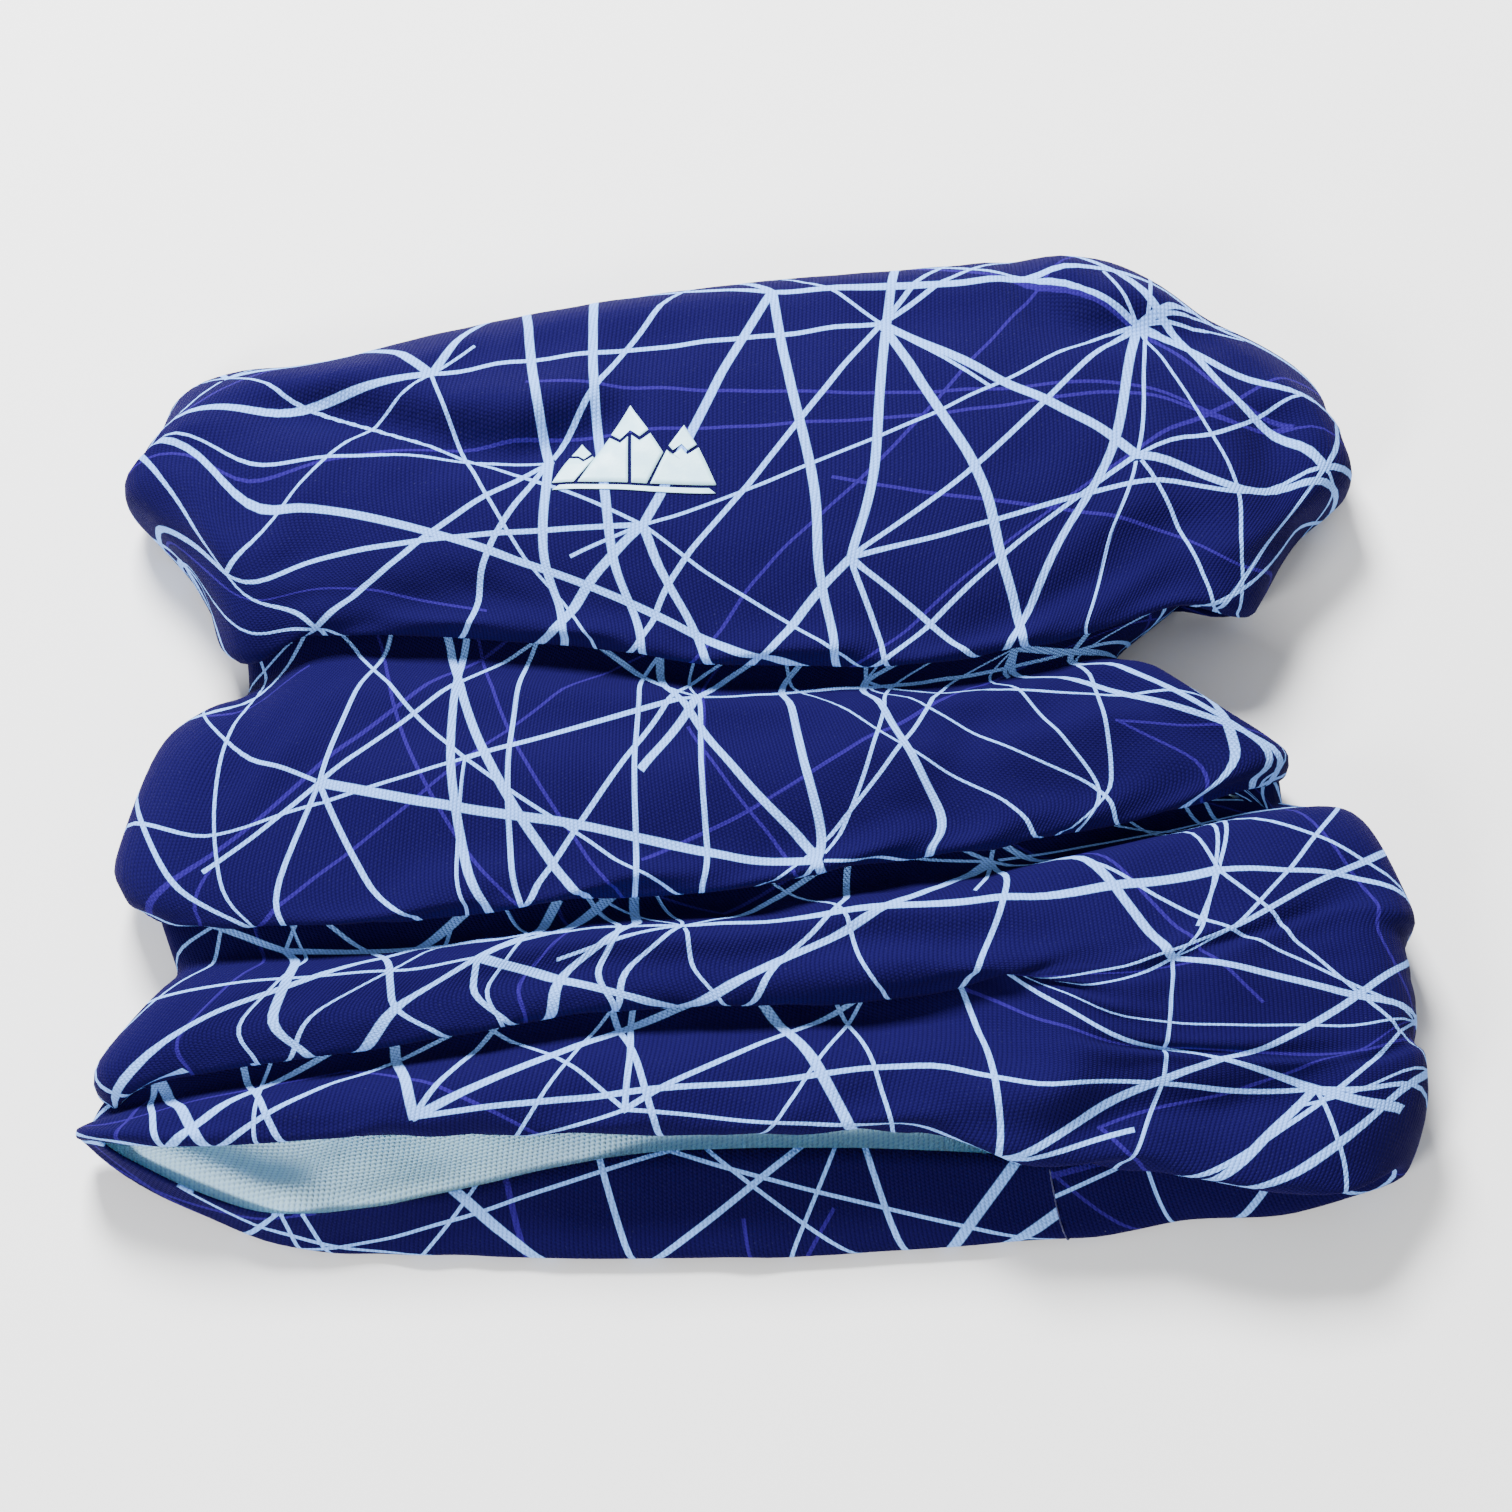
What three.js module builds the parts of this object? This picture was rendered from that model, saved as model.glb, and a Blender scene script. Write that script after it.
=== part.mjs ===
// A pull-on neck gaiter of printed jersey, lying gathered on its back.
//
// The gaiter is one knitted panel closed into a tube by a single overlocked seam, with both ends
// cut raw and a film emblem pressed onto the front. It lies gathered lengthwise, so the tube is
// modelled as a puffed, open-ended shell: its long axis runs along Y, the front faces +Z and the
// back rests on z = 0. The lower mouth, at -Y, gapes between the front hem and the back hem, which
// is rolled up into a cuff. Millimetres, +Z up, origin under the middle of the tube.
import * as THREE from "three";

// ---- Driving dimensions -------------------------------------------------------------------
const HALF_WIDTH = 125; // flat half width of the tube: a 500 mm circumference
const GATHERED_LENGTH = 209; // from hem to hem as it lies; pulled straight it is 480 mm
const FRONT_HEIGHT = 28; // top of the gathered front above the surface
const WALL = 2.5; // one gathered layer of jersey
const EDGE_ROLL = 20; // how far the side folds reach in from the outermost point
const FOLD_SAG = 10; // how far the folds hang towards -Y at mid width
const CUFF_HEIGHT = 10.5; // height of the rolled back hem
const CUFF_START = 0.9; // share of the length at which the cuff begins to rise
const MOUTH_SETBACK = 16; // how far the front hem stands back from the cuff
const SEAM_X = 61; // the seam's place across the back
const SEAM_ALLOWANCE = { width: 6, thickness: 1.2 };
const SEAM_GUTTER = { width: 3, depth: 1.2, flare: 1 }; // valley that the seam makes outside
const NEEDLE_THREAD = 0.6; // diameter
const LOOPER_THREAD = 0.5; // diameter
const STITCH_PITCH = 8; // one zigzag of the looper threads
const THREAD_INSET = 3; // how far threads and allowance stop short of the hems
const CLEARANCE = 0.3; // gap between pieces that touch
const EMBLEM = { x: -22.5, y: 45, film: 0.3, scale: 1 };

// ---- Mesh resolution ----------------------------------------------------------------------
const RINGS = 32;
const ROLL_STEPS = 5;
const FACE_STEPS = 10;
const THREAD_SIDES = 5;

// ---- Materials ----------------------------------------------------------------------------
const printedJersey = new THREE.MeshStandardMaterial({ color: 0x1d1c66, roughness: 0.85, metalness: 0 });
const seamJersey = new THREE.MeshStandardMaterial({ color: 0xbfd3e2, roughness: 0.9, metalness: 0 });
const seamThread = new THREE.MeshStandardMaterial({ color: 0x23236e, roughness: 0.7, metalness: 0 });
const emblemFilm = new THREE.MeshStandardMaterial({ color: 0xd9f1f4, roughness: 0.45, metalness: 0 });

// ---- Outline ------------------------------------------------------------------------------

// A smooth function through [input, output] pairs, held level beyond its two ends.
function through(pairs) {
  return (t) => {
    const last = pairs.length - 1;
    if (t <= pairs[0][0]) return pairs[0][1];
    if (t >= pairs[last][0]) return pairs[last][1];
    const i = pairs.findIndex(([at]) => at > t) - 1;
    const [[t0, a], [t1, b]] = [pairs[i], pairs[i + 1]];
    return THREE.MathUtils.lerp(a, b, THREE.MathUtils.smoothstep(t, t0, t1));
  };
}

// The two hems, as their distance from the furthest end at a share of the half width.
const upperHemDrop = through([[-1, 44], [-0.78, 22], [-0.3, 8], [0.3, 0], [0.62, 3], [0.94, 34]]);
const lowerHemDrop = through([[-1, 20], [-0.8, 5], [-0.2, 0], [0.5, 3], [1, 14]]);
const upperHem = (x) => GATHERED_LENGTH / 2 - upperHemDrop(x / HALF_WIDTH);
const lowerHem = (x) => lowerHemDrop(x / HALF_WIDTH) - GATHERED_LENGTH / 2;

// The side folds, as their distance from the full half width at a share of the length from the
// upper hem. Each fold of the gathered tube pushes out, and the tucks between them pull in.
const leftPull = through([[0, 6], [0.1, 0], [0.25, 11], [0.35, 20], [0.6, 4], [0.78, 13], [0.92, 2], [1, 4]]);
const rightPull = through([[0, 16], [0.1, 9], [0.25, 19], [0.36, 33], [0.6, 4], [0.8, 0], [1, 12]]);

// The height of the front, as a share of FRONT_HEIGHT along the length.
const frontRise = through([
  [0, 0.58], [0.12, 0.96], [0.3, 0.96], [0.38, 0.8], [0.48, 1], [0.58, 0.98],
  [0.66, 0.8], [0.74, 0.93], [0.81, 0.8], [0.88, 0.92], [1, 0.8],
]);

const leftAt = (v) => -HALF_WIDTH + leftPull(v);
const rightAt = (v) => HALF_WIDTH - rightPull(v);
const heightAt = (v) => FRONT_HEIGHT * frontRise(v);
const cuffAt = (v) => (CUFF_HEIGHT - WALL) * THREE.MathUtils.smoothstep(v, CUFF_START, 1);

// ---- The tube -----------------------------------------------------------------------------

// One ring of the shell as [x, z] pairs, counter-clockwise seen from -Y: along the underside from
// left to right, round the right fold, back along the front and round the left fold. The inset
// moves it inwards by a wall, and the gutter lifts the underside over the seam.
function ring(v, inset) {
  const left = leftAt(v) + inset;
  const right = rightAt(v) - inset;
  const top = heightAt(v) - inset;
  const floor = inset ? inset + cuffAt(v) : 0;
  const roll = EDGE_ROLL - inset;
  const half = (top - floor) / 2;
  const gutter = inset ? 0 : SEAM_GUTTER.depth;
  const points = [];
  const bottomStart = left + roll;
  const bottomEnd = right - roll;
  const halfGutter = SEAM_GUTTER.width / 2;
  const outerGutter = halfGutter + SEAM_GUTTER.flare;
  for (let i = 0; i < FACE_STEPS; i++) {
    points.push([THREE.MathUtils.lerp(bottomStart, SEAM_X - outerGutter, i / FACE_STEPS), floor]);
  }
  points.push([SEAM_X - outerGutter, floor], [SEAM_X - halfGutter, floor + gutter]);
  points.push([SEAM_X + halfGutter, floor + gutter], [SEAM_X + outerGutter, floor]);
  for (let i = 0; i < 2 * ROLL_STEPS; i++) {
    const angle = -Math.PI / 2 + (Math.PI * i) / (2 * ROLL_STEPS);
    points.push([bottomEnd + roll * Math.cos(angle), floor + half + half * Math.sin(angle)]);
  }
  for (let i = 0; i < FACE_STEPS; i++) {
    points.push([THREE.MathUtils.lerp(bottomEnd, bottomStart, i / FACE_STEPS), top]);
  }
  for (let i = 0; i < 2 * ROLL_STEPS; i++) {
    const angle = Math.PI / 2 + (Math.PI * i) / (2 * ROLL_STEPS);
    points.push([bottomStart + roll * Math.cos(angle), floor + half + half * Math.sin(angle)]);
  }
  return points;
}

// The place along Y of a point of the shell: between the two hems, hanging a little at mid width,
// with the front hem set back from the cuff.
function along(x, z, v) {
  const across = THREE.MathUtils.clamp(1 - (x / HALF_WIDTH) ** 2, 0, 1);
  const straight = THREE.MathUtils.lerp(upperHem(x), lowerHem(x), v);
  const raised = THREE.MathUtils.clamp((z - CUFF_HEIGHT) / (heightAt(v) - CUFF_HEIGHT), 0, 1);
  const setback = MOUTH_SETBACK * across * raised * THREE.MathUtils.smoothstep(v, 0.82, 1);
  return straight - FOLD_SAG * across * Math.sin(Math.PI * v) + setback;
}

// The shell: an outer and an inner sleeve of rings, closed to each other at the two hems.
function tubeGeometry() {
  const sleeves = [0, WALL].map((inset) =>
    Array.from({ length: RINGS + 1 }, (_, j) =>
      ring(j / RINGS, inset).map(([x, z]) => [x, along(x, z, j / RINGS), z]),
    ),
  );
  const count = sleeves[0][0].length;
  const positions = sleeves.flat(2).flat();
  const index = (sleeve, j, i) => (sleeve * (RINGS + 1) + j) * count + (i % count);
  const triangles = [];
  const quad = (a, b, c, d) => triangles.push(a, c, b, a, d, c);
  for (let i = 0; i < count; i++) {
    for (let j = 0; j < RINGS; j++) {
      quad(index(0, j, i), index(0, j + 1, i), index(0, j + 1, i + 1), index(0, j, i + 1));
      quad(index(1, j, i), index(1, j, i + 1), index(1, j + 1, i + 1), index(1, j + 1, i));
    }
    quad(index(0, 0, i), index(0, 0, i + 1), index(1, 0, i + 1), index(1, 0, i));
    quad(index(0, RINGS, i), index(1, RINGS, i), index(1, RINGS, i + 1), index(0, RINGS, i + 1));
  }
  return indexed(positions, triangles);
}

function indexed(positions, triangles) {
  const geometry = new THREE.BufferGeometry();
  geometry.setAttribute("position", new THREE.Float32BufferAttribute(positions, 3));
  geometry.setIndex(triangles);
  geometry.computeVertexNormals();
  return geometry;
}

// ---- The seam -----------------------------------------------------------------------------

const SEAM_START = lowerHem(SEAM_X) + THREAD_INSET;
const SEAM_END = upperHem(SEAM_X) - THREAD_INSET;
// The allowance and its threads stop where the cuff starts to rise over them.
const ALLOWANCE_START = along(SEAM_X, 0, CUFF_START) + THREAD_INSET;
const ALLOWANCE_BASE = WALL + CLEARANCE;
const ALLOWANCE_TOP = ALLOWANCE_BASE + SEAM_ALLOWANCE.thickness;

// The two raw edges of the panel, laid to one side inside the tube.
function allowanceGeometry() {
  const length = SEAM_END - ALLOWANCE_START;
  const geometry = new THREE.BoxGeometry(SEAM_ALLOWANCE.width, length, SEAM_ALLOWANCE.thickness);
  return geometry.translate(
    SEAM_X,
    ALLOWANCE_START + length / 2,
    ALLOWANCE_BASE + SEAM_ALLOWANCE.thickness / 2,
  );
}

// A round thread swept along points.
function threadGeometry(points, diameter) {
  const section = new THREE.Shape();
  for (let i = 0; i < THREAD_SIDES; i++) {
    const angle = (2 * Math.PI * i) / THREAD_SIDES;
    const at = [(diameter / 2) * Math.cos(angle), (diameter / 2) * Math.sin(angle)];
    if (i) section.lineTo(...at);
    else section.moveTo(...at);
  }
  const path = new THREE.CatmullRomCurve3(points, false, "centripetal");
  return new THREE.ExtrudeGeometry(section, { steps: points.length - 1, extrudePath: path });
}

// The thread that shows in the valley outside the seam.
function needleThreadGeometry() {
  const z = SEAM_GUTTER.depth - CLEARANCE - NEEDLE_THREAD / 2;
  return threadGeometry(
    [new THREE.Vector3(SEAM_X, SEAM_START, z), new THREE.Vector3(SEAM_X, SEAM_END, z)],
    NEEDLE_THREAD,
  );
}

// A looper thread: a wave along the seam, with one corner in every quarter of a stitch.
function looperThreadGeometry(place) {
  const length = SEAM_END - ALLOWANCE_START - 2 * LOOPER_THREAD;
  const quarters = Math.floor(length / (STITCH_PITCH / 4));
  const points = Array.from({ length: quarters + 1 }, (_, i) => {
    const y = ALLOWANCE_START + LOOPER_THREAD + (length * i) / quarters;
    return place(Math.sin((Math.PI / 2) * i), y);
  });
  return threadGeometry(points, LOOPER_THREAD);
}

// One looper thread lies across the allowance, and the other climbs over its raw edge.
const overAllowance = (wave, y) =>
  new THREE.Vector3(
    SEAM_X + wave * (SEAM_ALLOWANCE.width / 2 - LOOPER_THREAD),
    y,
    ALLOWANCE_TOP + CLEARANCE + LOOPER_THREAD / 2,
  );
const overRawEdge = (wave, y) =>
  new THREE.Vector3(
    SEAM_X + SEAM_ALLOWANCE.width / 2 + CLEARANCE + LOOPER_THREAD / 2,
    y,
    ALLOWANCE_BASE + SEAM_ALLOWANCE.thickness / 2 + (wave * (SEAM_ALLOWANCE.thickness - LOOPER_THREAD)) / 2,
  );

// ---- The emblem ---------------------------------------------------------------------------

const EMBLEM_SHARE = 0.2; // the share of the length that the emblem lies at, on a level of the front

// A plain range of three peaks cut from film, in facets with the fabric showing between them.
// Corners are millimetres from the middle of its foot.
const EMBLEM_FACETS = {
  emblem_main_cap: [[-1, 17], [2.7, 11.2], [1, 9.9], [-0.9, 11.6], [-2.9, 9.6], [-4.6, 11.2]],
  emblem_main_left: [[-4.9, 10.4], [-2.8, 8.6], [-1.3, 10.1], [-1.3, 0], [-11, 0]],
  emblem_main_right: [[-0.6, 10.3], [1, 8.9], [3.1, 10.4], [5.6, 6.4], [2.4, 0], [-0.6, 0]],
  emblem_left_cap: [[-10.4, 9.8], [-8.5, 6.6], [-9.9, 5.4], [-11.1, 6.5], [-12.3, 6.7]],
  emblem_left_peak: [[-12.7, 6], [-11, 5.7], [-9.9, 4.5], [-8.2, 5.9], [-7.9, 5.4], [-11.8, 0], [-16, 0]],
  emblem_right_cap: [[9.6, 12], [12.1, 8], [10.4, 6.9], [9.2, 8.2], [7.5, 6.9], [6.7, 7.8]],
  emblem_right_peak: [[6.3, 6.9], [7.5, 6], [9.2, 7.3], [10.3, 6], [12.5, 7.4], [16, 0], [3.1, 0]],
  emblem_foot: [[-16, -1.8], [16, -1.8], [14.6, -0.7], [-14.6, -0.7]],
};

function facetGeometry(corners) {
  const outline = new THREE.Shape(corners.map(([x, y]) => new THREE.Vector2(x, y).multiplyScalar(EMBLEM.scale)));
  return new THREE.ExtrudeGeometry(outline, { depth: EMBLEM.film, bevelEnabled: false });
}

// ---- Assembly -----------------------------------------------------------------------------

const gaiter = new THREE.Group();

function add(name, geometry, material, parent = gaiter) {
  const mesh = new THREE.Mesh(geometry, material);
  mesh.name = name;
  parent.add(mesh);
  return mesh;
}

add("fabric_tube", tubeGeometry(), printedJersey);
add("seam_allowance", allowanceGeometry(), seamJersey);
add("seam_needle_thread", needleThreadGeometry(), seamThread);
add("seam_looper_thread_upper", looperThreadGeometry(overAllowance), seamThread);
add("seam_looper_thread_edge", looperThreadGeometry(overRawEdge), seamThread);

const emblem = new THREE.Group();
emblem.position.set(EMBLEM.x, EMBLEM.y, heightAt(EMBLEM_SHARE) + CLEARANCE);
for (const [name, corners] of Object.entries(EMBLEM_FACETS)) {
  add(name, facetGeometry(corners), emblemFilm, emblem);
}
gaiter.add(emblem);

export default gaiter;
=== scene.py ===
"""A pull-on neck gaiter of printed jersey, lying gathered on its back.

The whole gaiter is one continuous sleeve of cloth. Its shape starts as rings that follow each fold
of the gathers, is settled as cloth on the floor, and is then given its creases and its thickness.
The seam, its threads and the film emblem are laid onto the settled cloth.
"""

import logging
import math
from dataclasses import dataclass, field
from enum import Enum
from typing import Callable, Sequence

import bpy
import numpy as np
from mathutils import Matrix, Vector


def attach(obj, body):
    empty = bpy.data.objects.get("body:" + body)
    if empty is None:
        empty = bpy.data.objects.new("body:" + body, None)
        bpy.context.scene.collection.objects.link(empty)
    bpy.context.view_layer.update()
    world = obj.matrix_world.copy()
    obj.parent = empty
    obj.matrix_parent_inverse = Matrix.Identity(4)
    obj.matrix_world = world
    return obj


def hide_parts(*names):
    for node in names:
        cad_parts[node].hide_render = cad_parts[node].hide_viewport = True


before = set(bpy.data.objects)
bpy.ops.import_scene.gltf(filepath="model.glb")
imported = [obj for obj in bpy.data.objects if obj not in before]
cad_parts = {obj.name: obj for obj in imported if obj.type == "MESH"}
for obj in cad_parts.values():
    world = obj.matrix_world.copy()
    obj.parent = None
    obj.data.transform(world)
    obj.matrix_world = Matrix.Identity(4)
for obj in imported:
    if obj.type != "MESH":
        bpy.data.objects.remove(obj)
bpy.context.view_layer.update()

LOG = logging.getLogger("neck_gaiter")
MM = 0.001
HALF_WIDTH, FRONT_HEIGHT = 125, 26  # of the lying gaiter, in millimetres
FOLD_REACH = 118  # from the middle to where a tuck's depth has faded, in millimetres
PLAIN_FROM, PLAIN_TO = 22, 70  # where loose folds run out into a plain surface, in millimetres
Points = Sequence[tuple[float, float]]
Line = Callable[[np.ndarray], np.ndarray]
Colour = tuple[float, float, float, float]
Socket = bpy.types.NodeSocket
Thing = bpy.types.Object


# ---- Curves ---------------------------------------------------------------------------------


def smooth_line(points: Points) -> Line:
    """A smooth line through given points, level beyond its ends.

    Each span is a cubic whose slope at a point is the weighted mean of its two neighbouring
    slopes, and zero where those two differ in sign, so that the line never overshoots.

    Args:
        points: pairs of place and value, in rising order of place.

    Returns:
        A function from an array of places to an array of values.
    """
    at = np.array([p[0] for p in points], float)
    value = np.array([p[1] for p in points], float)
    gap = np.diff(at)
    rise = np.diff(value) / gap
    slope = np.zeros_like(value)
    slope[1:-1] = np.where(
        rise[1:] * rise[:-1] > 0,
        (rise[1:] * gap[:-1] + rise[:-1] * gap[1:]) / (gap[1:] + gap[:-1]),
        0.0,
    )

    def line(x: np.ndarray) -> np.ndarray:
        """The cubic of the span that each place falls in.

        Args:
            x: the places.

        Returns:
            The value at each place.
        """
        x = np.clip(x, at[0], at[-1])
        i = np.clip(np.searchsorted(at, x, side="right") - 1, 0, len(gap) - 1)
        t = (x - at[i]) / gap[i]
        return (
            (1 + 2 * t) * (1 - t) ** 2 * value[i]
            + t * (1 - t) ** 2 * gap[i] * slope[i]
            + t**2 * (3 - 2 * t) * value[i + 1]
            - t**2 * (1 - t) * gap[i] * slope[i + 1]
        )

    return line


def smoothstep(x: np.ndarray, low: float, high: float) -> np.ndarray:
    """An eased climb from 0 at low to 1 at high."""
    t = np.clip((x - low) / (high - low), 0.0, 1.0)
    return t * t * (3 - 2 * t)


def refine(values: np.ndarray, at: np.ndarray, axis: int, wraps: bool) -> np.ndarray:
    """Samples a grid at fractional places along one axis with a Catmull-Rom spline.

    Args:
        values: the grid.
        at: the fractional index of each sample.
        axis: the axis to sample along.
        wraps: whether the last entry is followed by the first.

    Returns:
        The grid with that axis replaced by the samples.
    """
    values = np.moveaxis(values, axis, 0)
    count = len(values)
    i = np.floor(at).astype(int)
    if not wraps:
        i = np.clip(i, 0, count - 2)
    t = (at - i).reshape((-1,) + (1,) * (values.ndim - 1))

    def pick(k: np.ndarray) -> np.ndarray:
        """The entries at an index, wrapped round or carried on straight past the ends.

        Args:
            k: the indices, which may lie past the ends.

        Returns:
            The entries.
        """
        if wraps:
            return values[k % count]
        inside = values[np.clip(k, 0, count - 1)]
        before = 2 * values[:1] - values[1:2]
        after = 2 * values[-1:] - values[-2:-1]
        shape = (-1,) + (1,) * (values.ndim - 1)
        return np.where((k < 0).reshape(shape), before, np.where((k >= count).reshape(shape), after, inside))

    a, b, c, d = (pick(i + k) for k in (-1, 0, 1, 2))
    made = b + 0.5 * t * (c - a + t * (2 * a - 5 * b + 4 * c - d + t * (3 * (b - c) + d - a)))
    return np.moveaxis(made, 0, axis)


# ---- Objects --------------------------------------------------------------------------------


def placed(name: str, data: bpy.types.ID) -> Thing:
    """A new object, linked to the scene.

    Args:
        name: the object's name.
        data: its mesh, camera or light.

    Returns:
        The object.
    """
    made = bpy.data.objects.new(name, data)
    bpy.context.scene.collection.objects.link(made)
    return made


def skin_piece(name: str, points: np.ndarray, faces: Sequence[Sequence[int]], uv: np.ndarray) -> Thing:
    """A smooth mesh object whose UV map is its place on flat cloth or along a thread.

    Args:
        name: the piece's name.
        points: its points.
        faces: the indices of each face's points.
        uv: the place of each corner of each face, in order.

    Returns:
        The object.
    """
    mesh = bpy.data.meshes.new(name)
    mesh.from_pydata(points, [], faces)
    mesh.uv_layers.new(name="cloth").data.foreach_set("uv", uv.astype(np.float32).ravel())
    mesh.polygons.foreach_set("use_smooth", np.ones(len(faces), bool))
    mesh.update()
    return placed(name, mesh)


# ---- Cloth ----------------------------------------------------------------------------------


class Edge(Enum):
    """The lines across the front that the folds are hung on, in millimetres."""

    TOP = (
        (-125, 62), (-118, 74), (-106, 80), (-92, 81), (-66, 88), (-40, 94), (-3, 100), (38, 104),
        (58, 106), (73, 105), (82, 100), (90, 93), (100, 88), (112, 80), (122, 70),
    )
    COLLAR = (
        (-125, 38), (-117, 31), (-109, 22), (-103, 12), (-98, 9), (-90, 14), (-80, 15.5), (-56, 14.5),
        (-34, 12.5), (-3, 8.5), (20, 8.5), (37, 9.5), (56, 13.5), (74, 19), (84, 21.5), (92, 20),
        (98, 21), (104, 27), (114, 37),
    )
    MIDDLE = (
        (-121, -39), (-110, -45), (-71, -44.5), (-30, -39.5), (1, -37), (21, -32.5), (44, -29.5),
        (64, -25), (80, -21), (97, -16), (112, -14),
    )
    ROLL = (
        (-121, -78), (-103, -73.5), (-74, -69.5), (-56, -66.5), (-33, -62.5), (1, -60.5), (45, -58.5),
        (80, -56), (125, -52),
    )
    HEM = (
        (-125, -86), (-104, -86.5), (-65, -85.5), (1, -85.5), (24, -84.5), (37, -86.5), (44, -90),
        (68, -91.5), (80, -94), (95, -97), (112, -96), (122, -88),
    )
    FOOT = (
        (-127, -82), (-118, -88), (-103, -95.5), (-87, -101.5), (-60, -103.5), (-10, -104.5),
        (45, -101.5), (61, -100.5), (80, -97), (100, -96), (122, -90),
    )
    RAW = (
        (-127, -81), (-118, -86.5), (-103, -94), (-88, -98), (-70, -96.5), (-54, -93), (-38, -89),
        (-17, -85.5), (10, -85), (45, -86), (80, -88), (122, -86),
    )

    @property
    def line(self) -> Line:
        """The edge as a smooth line over places across, in millimetres."""
        return smooth_line(self.value)


@dataclass(frozen=True)
class Station:
    """One ring of the sleeve, at one place along the cloth. All lengths are in millimetres.

    The front passes between two edges at a share of the way, moved by a shift and by a reach that
    dies down towards the sides. The back passes at the same place unless it is given its own, and
    leans in under the front by the lean.
    """

    upper: Edge
    lower: Edge
    share: float
    lift: float
    bed: float
    left: float
    right: float
    shift: float = 0.0
    reach: float = 0.0
    fades: tuple[float, float] = (0.62, 0.62)
    back: tuple[Edge, Edge, float, float] | None = None
    loose: tuple[float, float] | None = None
    lean: float = 0.0


def fold(
    upper: Edge, lower: Edge, edge_side: tuple[float, float], inner_side: tuple[float, float],
    heights: tuple[float, float, float, float], depth: float,
    fades: tuple[float, float] = (0.62, 0.62), loose: tuple[float, float, float] | None = None,
) -> list[Station]:
    """The stations of one tuck: out over the fold's edge, in under it, and back out below.

    Args:
        upper: the edge that the fold hangs from.
        lower: the edge of the next fold down.
        edge_side: how far left and right the fold reaches at its edge.
        inner_side: how far left and right it reaches at the bottom of the tuck.
        heights: the height of the front over the edge, at the edge, under it and at the inside.
        depth: how deep the tuck goes.
        fades: the share of the depth that is lost at the left and at the right end.
        loose: where the tuck opens out into a plain surface to the right: the share of the way
            from upper to lower at its start and at its end, and the height there.

    Returns:
        The stations in order along the cloth.
    """
    over, tip, under, inside = heights
    left, right = edge_side
    inner_left, inner_right = inner_side
    mid_left, mid_right = (left + inner_left) / 2, (right + inner_right) / 2
    rows = [
        # shift, reach, lift, bed, left, right, lean
        (6.5, 0, over, 0.6, left - 5, right + (2 if loose else 5), 1.5),
        (1.2, 0, tip + 2.6, 1.0, left - 1.5, right + 1.5, 6),
        (0, 0, tip, 1.9, left, right, 9),
        (1.6, 0, tip - 2.6, 2.8, left, right, 9),
        (5, 0.25, under, 3.2, mid_left, mid_right, 7),
        (5, 0.62, under, 3.4, mid_left, mid_right, 5),
        (4, 0.94, (under + inside) / 2 + 0.6, 3.7, inner_left, inner_right, 3),
        (4, 1.0, (under + inside) / 2 - 0.4, 4.6, inner_left, inner_right, 2),
        (4, 0.94, inside, 5.4, inner_left, inner_right, 1),
        (3, 0.6, inside, 5.6, mid_left, mid_right, 0),
        (2, 0.25, inside + 0.6, 5.0, mid_left, mid_right, 0),
    ]
    made = []
    for i, (shift, reach, lift, bed, row_left, row_right, lean) in enumerate(rows):
        plain = None
        if loose:
            start, end, height = loose
            plain = (start + (end - start) * i / (len(rows) - 1), height)
        made.append(
            Station(upper, lower, 0, lift, bed, row_left, row_right, shift, reach * depth, fades, None, plain, lean)
        )
    return made


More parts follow.
